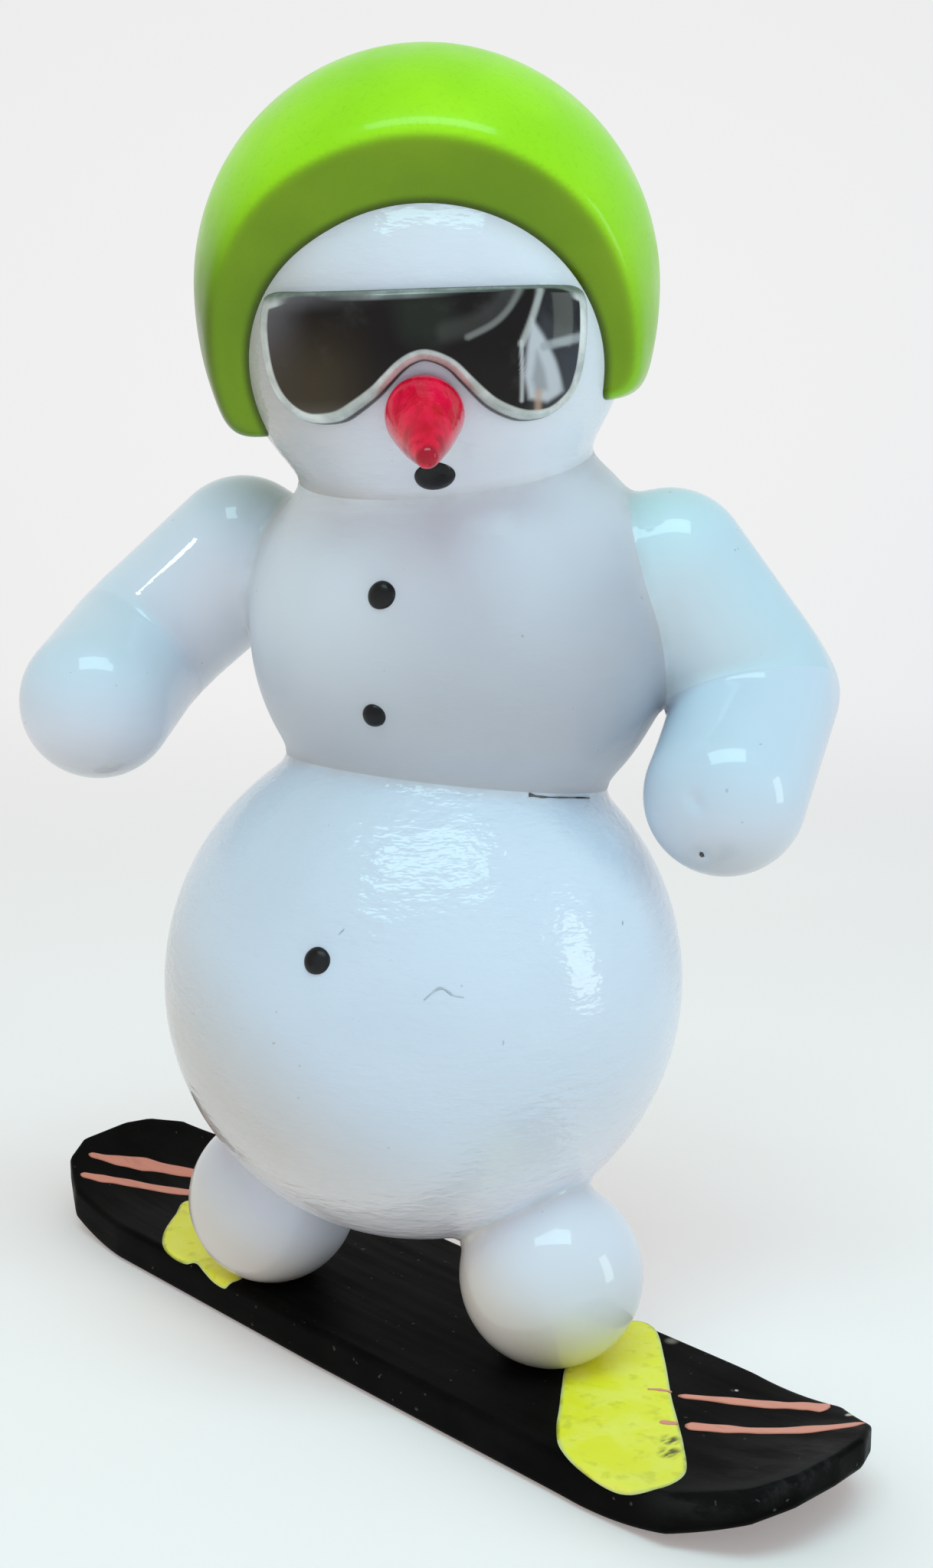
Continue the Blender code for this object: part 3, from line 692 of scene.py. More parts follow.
def goggle_mirror():
    """A dark mirror with a silvered band round it, lit by painted reflection and darkened by
    painted shade, a painted shadow at its very edge, and a painted reflection of a room, vertex by
    vertex.
    """
    n = Paint("goggle_mirror")
    band = n.attribute("band")
    haze = n.noise(420, 4, 0.6)
    room = n.attribute("room", "Color")
    dusty = n.mix(n.between(haze, 0.5, 0.85, 0.0, 0.05), room, (0.5, 0.5, 0.48))
    rubbed = n.between(n.noise(600, 3), 0.35, 0.7)
    # The light silver below and at the sides is partly the band's own silver and partly painted
    # reflection; the darker silver along the top is painted shade.
    silver = n.mix(n.attribute("rounded"), n.mix(rubbed, (0.22, 0.24, 0.22), (0.42, 0.45, 0.43)),
                   n.mix(rubbed, (0.50, 0.53, 0.50), (0.78, 0.80, 0.77)))
    framed = n.mix(band, dusty, silver)
    # Painted shadow: a thin dark line at the plate's very edge, where it meets the head.
    n.set(Base_Color=n.mix(n.attribute("outline"), framed, (0.05, 0.05, 0.045)))
    n.set(Roughness=n.plus(n.times(band, 0.2), n.between(haze, 0.3, 0.7, 0.05, 0.09)))
    n.set(Metallic=n.times(band, 0.35), Specular_IOR_Level=0.18)
    n.bump((n.noise(250, 2), 0.004),)
    return n.material


def beech():
    n = Paint("bare_beech")
    rings = n.add("ShaderNodeTexWave", wave_type="RINGS", rings_direction="Z")
    n.put(rings.inputs["Vector"], n.place)
    n.put(rings.inputs["Scale"], 260.0)
    n.put(rings.inputs["Distortion"], 6.0)
    flecks = n.noise(1, 3, 0.6, ((0, 0, 0), (2500, 2500, 300)))
    wood = n.mix(rings.outputs["Fac"], (0.52, 0.33, 0.18), (0.68, 0.47, 0.29))
    n.set(Base_Color=n.vary(flecks, 0.55, 0.75, wood, (0.36, 0.21, 0.11)), Roughness=0.62)
    n.bump((flecks, 0.03),)
    return n.material


# ---- the white pieces ----

WHITE_NODES = ("belly", "chest", "head", "left_foot", "right_foot",
               "left_upper_arm", "left_forearm", "right_upper_arm", "right_forearm")


def white_labels(p):
    """Which white piece each point belongs to, as an index into WHITE_NODES."""
    nearest = white_fields(p).argmin(0)
    label = np.minimum(nearest, 5)
    for row, arm, first in ((5, LEFT_ARM, 5), (6, RIGHT_ARM, 7)):
        label = np.where(nearest == row, first + (past_elbow(p, arm) > 0), label)
    return label


def past_elbow(p, arm):
    return (p - np.array(arm[1])) @ elbow_axes(arm)[0]


def signed_border(a, b):
    """A field that changes sign where piece a gives way to piece b."""
    rows = [5 + (label - 5) // 2 if label > 4 else label for label in (a, b)]
    if rows[0] == rows[1]:
        arm = LEFT_ARM if rows[0] == 5 else RIGHT_ARM
        return lambda p: past_elbow(p, arm)

    def difference(p):
        fields = white_fields(p)
        return fields[rows[0]] - fields[rows[1]]

    return difference


def slide_to_border(points, chosen, signed):
    """Move the chosen vertices along the white surface until the signed field is zero."""
    p = points[chosen]
    for _ in range(4):
        normal = gradient(white_surface, p)
        slope = gradient(signed, p)
        slope -= normal * (row_dots(slope, normal) / row_dots(normal, normal))[:, None]
        size = np.maximum(row_dots(slope, slope), 0.05)
        step = slope * (signed(p) / size)[:, None]
        p = settle(white_surface, p - np.clip(step, -0.3, 0.3), 1)
    points[chosen] = p


def painted_light_on_white(node, p, normal):
    """Painted light and shade: a colour to multiply the white by, lighter and bluer on lit sides
    and tops, warmer and darker on shaded sides and undersides, and darker over most of the chest.
    """
    left, down, height = normal @ np.array(LEFTWARD), -normal[:, 2], p[:, 2]
    colour = np.ones((len(p), 3))
    lay = layers(colour)
    if node == "head":
        lay(ease(left, 0.15, 0.85) * ease(down, -0.5, 0.1), (0.70, 0.65, 0.57))
        lay(ease(-left, 0.2, 0.8), (1.07, 1.11, 1.09))
    elif node == "chest":
        lay(ease(60.0 - height, 0.0, 16.0), (0.72, 0.73, 0.72))
        lay(0.8 * ease(-left, 0.25, 0.85) * ease(58.0 - height, 0.0, 6.0), (0.70, 0.70, 0.70))
        lay(0.7 * ease(left, -0.1, 0.8) * ease(height, 42.0, 54.0), (1.04, 1.11, 1.10))
        lay(ease(height, 55.0, 60.5), (1.11, 1.15, 1.11))
    elif node == "belly":
        colour *= (0.90, 0.985, 1.03)
        lay(ease(left + 1.2 * down, 0.25, 1.10), (0.80, 0.73, 0.64))
        lay(0.7 * ease(down - 0.3 * left, 0.2, 0.9), (1.14, 1.05, 1.04))
    elif node.endswith("foot"):
        lay(ease(down + 0.7 * left, -0.4, 0.7), (0.90, 0.79, 0.65))
    else:
        shaded = (0.95, 0.93, 0.89) if node == "right_upper_arm" else (0.80, 0.77, 0.74)
        lay(ease(-down, -0.5, 0.6), (0.92, 1.04, 1.07))
        lay(ease(down, 0.2, 0.9), shaded)
        colour *= {"left_forearm": (0.90, 0.94, 0.96),
                   "left_upper_arm": (0.95, 1.06, 1.03)}.get(node, (1.0, 1.0, 1.0))
    return colour


WHITE_LACQUERS = {                 # coat, its roughness, depth of its flakes and of its ripples
    "limbs": ("white_lacquer", 0.70, 0.03, 0.004, 0.018),
    "belly": ("white_lacquer_brushed", 0.80, 0.035, 0.19, 0.085),
    "head": ("white_lacquer_flecked", 0.75, 0.035, 0.12, 0.09),
    "chest": ("white_lacquer_satin", 0.22, 0.16, 0.05, 0.085)}


def make_white_pieces():
    """One net round everything white, parted along the joints, each part closed and named."""
    materials = {node: white_lacquer(*values) for node, values in WHITE_LACQUERS.items()}
    points, quads = net(white_surface, WHITE_BOX, by_quality(WHITE_CELL), 2)
    face_label = white_labels(points[quads].mean(1))
    low = np.full(len(points), len(WHITE_NODES))
    high = np.full(len(points), -1)
    for corner in range(4):
        np.minimum.at(low, quads[:, corner], face_label)
        np.maximum.at(high, quads[:, corner], face_label)
    for a, b in {(int(x), int(y)) for x, y in zip(low, high) if x != y}:
        slide_to_border(points, (low == a) & (high == b), signed_border(a, b))
    normals = surface_normals(white_surface, points)
    # The crease values: painted shade where two white pieces are near each other.
    fields = np.sort(white_fields(points), 0)
    crease = 1 - ease(fields[1] - fields[0], 0.0, CREASE_WIDTH)
    for label, node in enumerate(WHITE_NODES):
        used, faces = np.unique(quads[face_label == label], return_inverse=True)
        faces = faces.reshape(-1, 4)
        shell, fans = close_openings(points[used], faces)
        capped = np.concatenate([normals[used], np.tile((0, 0, 1.0), (len(shell) - len(used), 1))])
        piece = make_piece(node + "_painted", shell, faces.tolist() + fans,
                           materials.get(node, materials["limbs"]), (node,),
                           capped)
        add_values(piece, "crease", crease[used])
        # The tint attribute holds painted light and shade.
        add_colours(piece, "tint", painted_light_on_white(node, points[used], normals[used]))


def make_helmet():
    points, quads = net(helmet_surface, HEAD[0] + HELMET_BOX, by_quality(HELMET_CELL), 1)
    piece = make_piece("helmet_painted", points, quads, helmet_lacquer(),
                       ("helmet",), surface_normals(lambda p: helmet_shell(p)[0], points))
    shell, face = helmet_shell(points)
    across, height = (points - HEAD[0]) @ ACROSS, (points - HEAD[0]) @ UP
    # Painted shade: the shaded side is deeper green and the cut front, which faces down, is olive.
    side = ease(-across, 3.0, 13.0) + 0.45 * ease(across, 5.0, 14.0)
    add_values(piece, "front", ease(face - shell, -0.30, -0.02))
    add_values(piece, "side", side * ease(-height, -10.0, 1.0))
    # Painted shadow where the helmet meets the head.
    add_values(piece, "contact", 1 - ease(ball_field(points, HEAD), 0.05, 0.50))


# ---- goggles ----

GOGGLE_OUTLINE = (                 # degrees round the head and height above its middle
    (-44.9, 1.72), (-47.6, 1.07), (-48.6, 0.03), (-48.8, -1.39), (-48.3, -3.12), (-46.3, -4.43),
    (-42.7, -5.3), (-38.4, -5.78), (-32.75, -5.95), (-25.54, -5.8), (-19.2, -5.2), (-13.2, -4.4),
    (-9.45, -3.69), (-5.95, -3.0), (-2.67, -2.58), (0.5, -2.5), (5.3, -2.95), (9.47, -3.8),
    (12.97, -4.5), (16.69, -5.12), (21.31, -5.6), (26.6, -5.93), (31.2, -5.98), (36.4, -5.8),
    (40.9, -5.27), (44.1, -4.5), (45.5, -3.3), (45.85, -1.8), (45.9, -0.05), (45.5, 1.08),
    (43.3, 1.66), (37.15, 1.76), (22.62, 1.68), (6.54, 1.6), (-14.54, 1.56), (-32.16, 1.64))
GOGGLE_MIDDLE = np.array([-1.0, -1.35])
GOGGLE_EDGE = 0.5                  # how far in from the outline the front is rounded
GOGGLE_SINK = 0.05
GOGGLE_BACK = GOGGLE_INNER - 0.27
DEGREE_LENGTH = GOGGLE_OUTER * math.pi / 180


def goggle_point(flat, radius):
    """Points round the head, from degrees and height to the part's frame."""
    angle, height = np.radians(flat[:, 0]), flat[:, 1]
    reach = np.sqrt(radius ** 2 - height ** 2)
    p = (ACROSS * (reach * np.sin(angle))[:, None] + FORWARD * (reach * np.cos(angle))[:, None]
         + UP * height[:, None])
    turn = np.array(Matrix.Rotation(math.radians(GOGGLE_ROLL), 3, Vector(FORWARD)))
    return HEAD[0] + p @ turn.T


def line_distance(at, line):
    """Distance of each point from an open line, in the plane."""
    best = np.full(len(at), 1e9)
    for a, b in zip(line, line[1:]):
        run = b - a
        t = np.clip((at - a) @ run / max(run @ run, 1e-12), 0, 1)
        best = np.minimum(best, np.hypot(*(at - a - t[:, None] * run).T))
    return best


def closed_line(outline):
    return np.concatenate([outline, outline[:1]])


def inside_polygon(at, polygon):
    inside = np.zeros(len(at), bool)
    for (x1, y1), (x2, y2) in zip(polygon, np.roll(polygon, -1, 0)):
        crosses = (y1 > at[:, 1]) != (y2 > at[:, 1])
        with np.errstate(divide="ignore", invalid="ignore"):
            reach = (x2 - x1) * (at[:, 1] - y1) / (y2 - y1) + x1
        inside ^= crosses & (at[:, 0] < reach)
    return inside


def soft_shape(at, outline, blur):
    """1 inside a closed shape and 0 outside it, with a soft edge."""
    outline = np.array(outline) * (DEGREE_LENGTH, 1)
    away = line_distance(at, closed_line(outline))
    return ease(np.where(inside_polygon(at, outline), away, -away), -blur, blur)


def soft_stroke(at, line, width, blur):
    """1 along a line and 0 beside it, with soft edges."""
    line = catmull(line, 8, closed=False) * (DEGREE_LENGTH, 1)
    return 1 - ease(line_distance(at, line), width / 2 - blur / 2, width / 2 + blur)


def room_colours(at):
    """A painted reflection of a dim room in a convex mirror: dark walls, a brighter doorway and
    cloth on the right.
    """
    x, y = at[:, 0] / DEGREE_LENGTH, at[:, 1]
    colour = np.tile((0.011, 0.0075, 0.0065), (len(at), 1))
    lay = layers(colour)
    lay(0.85 * ease(-x, 8, 30) * ease(-y, -1.0, 3.5), (0.062, 0.044, 0.024))
    lay(0.85 * ease(-x, 28, 46) * ease(y, -4.0, 1.0), (0.150, 0.135, 0.145))
    lay(0.55 * ease(y, 0.2, 1.4) * ease(-x, 5, 40), (0.19, 0.18, 0.19))
    lay(0.30 * ease(-y, 4.4, 5.6) * ease(-x, 5, 25), (0.20, 0.19, 0.17))
    lay(0.45 * soft_shape(at, ((-8, 1.2), (4, 1.3), (9, -0.6), (2, -1.9), (-6, -1.2)), 0.8),
        (0.030, 0.042, 0.028))
    lay(0.55 * ease(x, 26, 31) * ease(-y, -1.6, 0.6), (0.075, 0.080, 0.088))
    lay(0.90 * soft_shape(at, ((30, 1.6), (46, 1.6), (46, -0.9), (34, -0.6), (31, 0.2)), 0.35),
        (0.022, 0.020, 0.020))
    lay(0.70 * soft_stroke(at, ((24.2, 1.5), (20.8, 0.35), (16.6, -0.5), (10.4, -1.2)),
                           0.26, 0.16), (0.30, 0.30, 0.28))
    lay(0.35 * soft_stroke(at, ((21.5, 1.5), (17.5, 0.3), (11.5, -0.5), (5.0, -0.9)), 0.8, 0.5),
        (0.10, 0.10, 0.09))
    lay(0.85 * soft_stroke(at, ((29.9, 1.5), (27.4, 0.0), (25.6, -1.0), (24.4, -1.6)), 0.34, 0.16),
        (0.50, 0.50, 0.48))
    lay(0.90 * soft_shape(at, ((27.0, -0.2), (25.9, -1.7), (25.6, -3.4), (27.8, -4.7),
                               (33.9, -4.9), (38.8, -4.3), (34.6, -2.6), (30.4, -1.2)), 0.22),
        (0.64, 0.66, 0.69))
    lay(0.60 * soft_shape(at, ((28.6, -2.0), (28.0, -3.6), (29.6, -4.3), (33.2, -4.2),
                               (31.4, -3.1)), 0.25), (0.22, 0.23, 0.25))
    lay(0.85 * soft_stroke(at, ((24.2, -1.5), (24.9, -3.2), (25.8, -4.8)), 0.16, 0.12),
        (0.62, 0.63, 0.63))
    lay(0.80 * soft_stroke(at, ((30.6, -1.75), (36.0, -1.5), (42.6, -1.2)), 0.42, 0.18),
        (0.40, 0.42, 0.43))
    lay(0.70 * soft_stroke(at, ((30.5, -4.35), (31.4, -5.4)), 0.35, 0.25), (0.55, 0.36, 0.26))
    lay(0.60 * soft_shape(at, ((36, -2.2), (43.5, -1.9), (43.5, -4.4), (38.6, -4.8)), 0.4),
        (0.055, 0.062, 0.075))
    return colour


def make_goggles():
    """A curved plate: rings from its middle to a rounded edge, then rings back behind it."""
    outline = catmull(GOGGLE_OUTLINE, by_quality(GOGGLE_STEPS))
    rings = by_quality(GOGGLE_RINGS)
    flat = spread(outline, GOGGLE_MIDDLE, rings, 1.35)
    at = flat * (DEGREE_LENGTH, 1)
    edge = line_distance(at, closed_line(outline) * (DEGREE_LENGTH, 1))
    lift = np.sqrt(1 - (1 - np.clip(edge / GOGGLE_EDGE, 0, 1)) ** 2)
    low = GOGGLE_INNER - GOGGLE_SINK
    front = goggle_point(flat, low + (GOGGLE_OUTER - low) * lift)
    backs = [goggle_point(GOGGLE_MIDDLE + (outline - GOGGLE_MIDDLE) * share, GOGGLE_BACK)
             for share in (1.0, 0.8, 0.55, 0.3)]
    backs.append(goggle_point(GOGGLE_MIDDLE[None], GOGGLE_BACK))
    faces = flipped(capped_faces(rings + len(backs) - 1, len(outline)))
    piece = make_piece("goggles_mirrored", np.concatenate([front] + backs), faces,
                       goggle_mirror(), ("goggles",))
    band = 0.62 + 0.40 * ease(np.abs(flat[:, 0]), 33.0, 46.0) - 0.40 * ease(flat[:, 1], 0.8, 1.45)
    add_values(piece, "band", 1 - ease(edge, band - 0.06, band + 0.07))
    # Where the band is light: painted reflection below and at the sides, painted shade along the
    # top.
    add_values(piece, "rounded", 1 - ease(flat[:, 1], 0.9, 1.5), 0.0)
    # Painted shadow: a thin dark line at the plate's very edge.
    add_values(piece, "outline", 1 - ease(edge, 0.03, 0.13))
    add_colours(piece, "room", room_colours(at), 0.0)


# ---- nose, mouth and buttons ----

def turned_piece(name, profile, base, axis, count, material, replaces, wobble):
    """A turned solid along an axis, with its outline a little uneven."""
    turn = np.array(Vector(axis).to_track_quat("Z", "Y").to_matrix())
    angle = np.linspace(0, 2 * math.pi, count, endpoint=False)
    uneven = 1 + wobble * (np.sin(2 * angle + 0.6) + 0.6 * np.sin(3 * angle + 2.1)
                           + 0.3 * np.sin(5 * angle))
    points = [(0, 0, profile[0][1])]
    for radius, height in profile[1:-1]:
        points += list(zip(radius * uneven * np.cos(angle), radius * uneven * np.sin(angle),
                           np.full(count, height)))
    points.append((0, 0, profile[-1][1]))
    points = np.array(points) @ turn.T + base
    faces = capped_faces(len(profile) - 2, count)
    return make_piece(name, points, faces, material, replaces)


def heading_vector(heading, elevation):
    turn, lift = math.radians(heading), math.radians(elevation)
    level = math.cos(lift)
    return np.array([level * math.sin(turn), -level * math.cos(turn), math.sin(lift)])


def make_nose():
    """A teardrop: a ball and a small round tip, joined by a slightly swollen cone."""
    base = HEAD[0] + heading_vector(HEAD_HEADING - 0.4, -24.2) * (HEAD[1] + 0.9)
    axis = heading_vector(HEAD_HEADING + 3.4, -23.6)
    radius, tip, length = 2.3, 0.7, 5.6
    taper = math.asin((radius - tip) / length)
    profile = [(0, -radius)]
    for step in range(1, 25):
        angle = (math.pi / 2 + taper) * step / 24
        profile.append((radius * math.sin(angle), -radius * math.cos(angle)))
    start, end = profile[-1], (tip * math.cos(taper), length + tip * math.sin(taper))
    for step in range(1, 24):
        share = step / 24
        swell = 0.10 * math.sin(math.pi * share)
        profile.append((start[0] + (end[0] - start[0]) * share + swell,
                        start[1] + (end[1] - start[1]) * share))
    for step in range(0, 8):
        angle = math.pi / 2 + taper + (math.pi / 2 - taper) * step / 8
        profile.append((tip * math.sin(angle), length - tip * math.cos(angle)))
    profile.append((0, length + tip))
    piece = turned_piece("nose_painted", profile, base, axis, 64, red_lacquer(axis),
                         ("nose",), 0.012)
    co = np.array([v.co for v in piece.data.vertices]) / MM
    add_values(piece, "tip", (co - base) @ axis / (length + tip))
    # Painted shade on the nose's underside.
    add_values(piece, "under", ease((base - co) @ np.cross(axis, np.cross(UP, axis)), 0.0, 1.6))


DOTS = {                           # ball, radius, heading and elevation
    "mouth": (HEAD, 1.25, HEAD_HEADING + 2.8, -47.0),
    "button_upper": (CHEST, 0.90, 25.9, 13.4),
    "button_middle": (CHEST, 0.78, 23.1, -16.9),
    "button_lower": (BELLY, 0.86, 25.2, 18.3)}


def make_dot(name, ball, radius, heading, elevation, material):
    """A domed drop of paint, rooted in the ball that it sits on."""
    axis = heading_vector(heading, elevation)
    fall = ball[1] - math.sqrt(ball[1] ** 2 - radius ** 2)
    profile = [(0, -fall - 0.9), (radius * 0.7, -fall - 0.8), (radius, -fall - 0.1)]
    for step in range(1, 14):
        angle = math.pi / 2 * step / 14
        profile.append((radius * math.cos(angle) ** 0.9,
                        -fall - 0.1 + (fall + 0.5) * math.sin(angle)))
    profile.append((0, 0.4))
    turned_piece(name + "_painted", profile, ball[0] + axis * ball[1], axis, 48, material,
                 (name,), 0.02)


# ---- snowboard and its paint ----

def board_half(x):
    past = np.clip((np.abs(x) - (BOARD_LENGTH / 2 - BOARD_NOSE)) / BOARD_NOSE, 0, 1)
    return BOARD_WIDTH / 2 * (1 - past ** BOARD_POWER) ** (1 / BOARD_POWER)


def board_curl(x):
    return (np.maximum(np.abs(x) - BOARD_FLAT, 0) / (BOARD_LENGTH / 2 - BOARD_FLAT)) ** 2


def board_top(x):
    return BOARD_THICKNESS + BOARD_TOP_RISE * board_curl(x)


def board_base(x):
    return BOARD_BASE_RISE * board_curl(x)


def board_middle(x):
    return BOARD_DRIFT * np.clip(x / BOARD_DRIFT_RUN, 0, 1)


def board_outline(count):
    """Points round the plan view, from the leading tip towards +Y, evenly spaced."""
    fine = np.linspace(0, math.pi, 2001)
    x = BOARD_LENGTH / 2 * np.cos(fine)
    y = board_half(x)
    plan = np.concatenate([np.stack([x, y], 1), np.stack([x, -y], 1)[::-1][1:-1]])
    corners = np.isin(np.arange(len(plan)), [round(len(plan) * turn) for turn in BOARD_CUTS])
    plan = plan[corners | (np.abs(plan[:, 0]) < BOARD_STRAIGHT)]
    loop = closed_line(plan)
    run = np.concatenate([[0], np.cumsum(np.hypot(*np.diff(loop, axis=0).T))])
    at = np.linspace(0, run[-1], count, endpoint=False)
    return np.stack([np.interp(at, run, loop[:, 0]), np.interp(at, run, loop[:, 1])], 1)


def make_board():
    """Rings from the top's middle out over a rounded edge and back below to the base's middle."""
    outline = board_outline(BOARD_COUNT)
    tangent = np.roll(outline, -1, 0) - np.roll(outline, 1, 0)
    outward = np.stack([tangent[:, 1], -tangent[:, 0]], 1)
    outward *= np.sign(row_dots(outward, outline))[:, None]
    outward /= np.hypot(*outward.T)[:, None]
    edge = outline - outward * BOARD_EDGE
    sheet = [(edge * share, 0.0) for share in np.linspace(0, 1, 46)[1:-1]]
    sheet += [(edge + outward * BOARD_EDGE * math.sin(a), BOARD_EDGE * (1 - math.cos(a)))
              for a in np.linspace(0, math.pi / 2, 7)]
    points = [(0, board_middle(0.0), BOARD_THICKNESS)]
    for rings, height, sign in ((sheet, board_top, -1), (sheet[::-1], board_base, 1)):
        for plan, fall in rings:
            x = plan[:, 0]
            points += list(zip(x, plan[:, 1] + board_middle(x), height(x) + sign * fall))
    points.append((0, board_middle(0.0), 0))
    points = np.array(points)
    faces = flipped(capped_faces(2 * len(sheet), BOARD_COUNT))
    piece = make_piece("snowboard_painted", points, faces, board_paint(),
                       ("snowboard",))
    # Painted sheen: a lighter band on the rounded -Y edge near the +X tip.
    inset = line_distance(points[:, :2] - (0, BOARD_DRIFT), closed_line(outline))
    place = ease(-points[:, 1], -2.5, 1.0) * ease(points[:, 0], 27.0, 32.0)
    upper = ease(points[:, 2] - board_base(points[:, 0]), 0.8, 1.6)
    add_values(piece, "rubbed", place * upper * (1 - ease(inset, 0.5, 2.4)))


def board_skin(x, across, lift):
    """A point above the board's top, which wraps over its -Y edge: across goes along the skin."""
    half = board_half(x)
    flat = np.minimum(across, half - BOARD_EDGE)
    bend = np.clip((across - half + BOARD_EDGE) / BOARD_EDGE, 0, math.pi / 2)
    down = np.maximum(across - half + BOARD_EDGE - BOARD_EDGE * math.pi / 2, 0)
    out = flat + np.sin(bend) * (BOARD_EDGE + lift)
    drop = (1 - np.cos(bend)) * BOARD_EDGE - lift * np.cos(bend) + down
    return np.stack([x, board_middle(x) - out, board_top(x) - drop], 1)


def make_film(name, outline, material):
    """A film of paint on the board, closed below, its outline given along and across the skin."""
    line = catmull(outline, 8)
    count, rings = len(line), 24
    flat = spread(line, line.mean(0), rings, 1.6)
    edge = line_distance(flat, closed_line(line))
    edge[-count:] = 0
    top = board_skin(flat[:, 0], flat[:, 1], FILM_DEPTH * np.sqrt(np.clip(edge / 0.25, 0, 1)))
    under = board_skin(flat[:, 0], flat[:, 1], np.full(len(flat), -PAINT_ROOT))
    shift, rim = len(flat), 1 + (rings - 1) * count
    upper = flipped(disc_faces(rings, count))
    wall = [(rim + i, rim + (i + 1) % count, rim + (i + 1) % count + shift, rim + i + shift)
            for i in range(count)]
    x, y = line.T
    if np.sum(x * np.roll(y, -1) - y * np.roll(x, -1)) > 0:
        upper = [face[::-1] for face in upper]
    else:
        wall = [face[::-1] for face in wall]
    lower = [tuple(v + shift for v in face[::-1]) for face in upper]
    piece = make_piece(name, np.concatenate([top, under]), upper + lower + wall, material)
    add_values(piece, "edge", np.concatenate([edge, edge]))


def strip_faces(rows, count):
    """Quads of a closed strip: a sheet of rows by count vertices over a like sheet."""
    shift = rows * count
    faces = []
    for row in range(rows - 1):
        for i in range(count - 1):
            a, b = row * count + i, (row + 1) * count + i
            faces.append((a, b, b + 1, a + 1))
            faces.append((a + shift, a + 1 + shift, b + 1 + shift, b + shift))
    last = (rows - 1) * count
    for i in range(count - 1):
        faces.append((i, i + 1, i + 1 + shift, i + shift))
        faces.append((last + i, last + i + shift, last + i + 1 + shift, last + i + 1))
    for row in range(rows - 1):
        a, b = row * count, (row + 1) * count
        faces.append((a, a + shift, b + shift, b))
        a, b = a + count - 1, b + count - 1
        faces.append((a, b, b + shift, a + shift))
    return faces


def line_frame(line, widths, wave):
    """How far along a line each point is, and half its width there."""
    t = np.linspace(0, 1, len(line))
    return t, np.interp(t, np.linspace(0, 1, len(widths)), widths) / 2 * wave(t)


def make_stroke(name, line, widths, material, over):
    """A long thin film, built as a strip so that it follows the board's curl."""
    line = catmull(line, 14, closed=False)
    run = np.gradient(line, axis=0)
    run /= np.hypot(*run.T)[:, None]
    side = np.stack([-run[:, 1], run[:, 0]], 1)
    t, half = line_frame(line, widths, lambda t: (
        np.clip(np.minimum(t * 14 + 0.35, (1 - t) * 11 + 0.3), 0, 1)
        * (1 + 0.10 * np.sin(11 * t + line[0, 0]) + 0.06 * np.sin(29 * t))))
    across = np.linspace(-1, 1, 9)
    top, under, edge = [], [], []
    for share in across:
        flat = line + side * (half * share)[:, None]
        away = half * (1 - abs(share))
        lift = over + STROKE_DEPTH * np.sqrt(np.clip(away / 0.12, 0, 1))
        top.append(board_skin(flat[:, 0], flat[:, 1], lift))
        under.append(board_skin(flat[:, 0], flat[:, 1], np.full(len(line), -PAINT_ROOT)))
        edge.append(np.minimum(away * 2.2, np.minimum(t, 1 - t) * 6 + 0.02))
    piece = make_piece(name, np.concatenate(top + under), strip_faces(len(across), len(line)),
                       material)
    add_values(piece, "edge", np.concatenate(edge + edge))


def make_mark(name, line, widths, material, lift):
    """A hairline crack or scratch: a sliver that lies on the white paint."""
    line = settle(white_surface, catmull(line, 12, closed=False), 4)
    side = np.cross(gradient(white_surface, line), np.gradient(line, axis=0))
    side /= lengths(side)[:, None]
    half = line_frame(line, widths, lambda t: 1 + 0.25 * np.sin(23 * t + 1))[1]
    sheets = []
    for height in (lift, -PAINT_ROOT):
        for share in (-1, 0, 1):
            p = settle(white_surface, line + side * (half * share)[:, None], 2)
            sheets.append(p + gradient(white_surface, p) * height)
    make_piece(name, np.concatenate(sheets), strip_faces(3, len(line)), material)


DARK_MARKS = (                     # name, line, widths along it, height over the paint
    ("waist_crack", ((11.10, 0.45, 39.90), (11.20, 1.6, 39.45), (11.22, 3.4, 39.12),
                     (11.25, 5.9, 38.97)), (0.22, 0.15, 0.07, 0.08, 0.10, 0.04), 0.12),
    ("forearm_pit", ((20.15, 6.50, 36.50), (20.0, 6.8, 36.44), (19.85, 7.05, 36.42)),
     (0.16, 0.34, 0.14), 0.02))
PALE_MARKS = (
    ("belly_scratch", ((13.30, -10.35, 29.30), (13.82, -9.55, 29.98), (14.37, -8.96, 29.55),
                       (14.75, -8.45, 29.40)), (0.05, 0.15, 0.11, 0.04), 0.02),
    ("belly_nick", ((16.70, 3.20, 32.05), (16.76, 3.34, 32.35)), (0.05, 0.16, 0.05), 0.02),
    ("belly_hair", ((8.45, -12.80, 32.80), (8.62, -12.5, 33.15)), (0.03, 0.08, 0.03), 0.02))


def make_marks():
    dark = mark_paint("bare_mark", (0.030, 0.028, 0.026), (0.16, 0.15, 0.14), 0.55, 0.008)
    pale = mark_paint("shallow_mark", (0.40, 0.46, 0.52), (0.54, 0.61, 0.67), 0.35, 0.006)
    for marks, material in ((DARK_MARKS, dark), (PALE_MARKS, pale)):
        for name, line, widths, lift in marks:
            make_mark(name, line, widths, material, lift)


def skin(points):
    """Plan points as along and across the skin, from the board's middle line towards -Y."""
    return [(x, float(board_middle(x)) - y) for x, y in points]


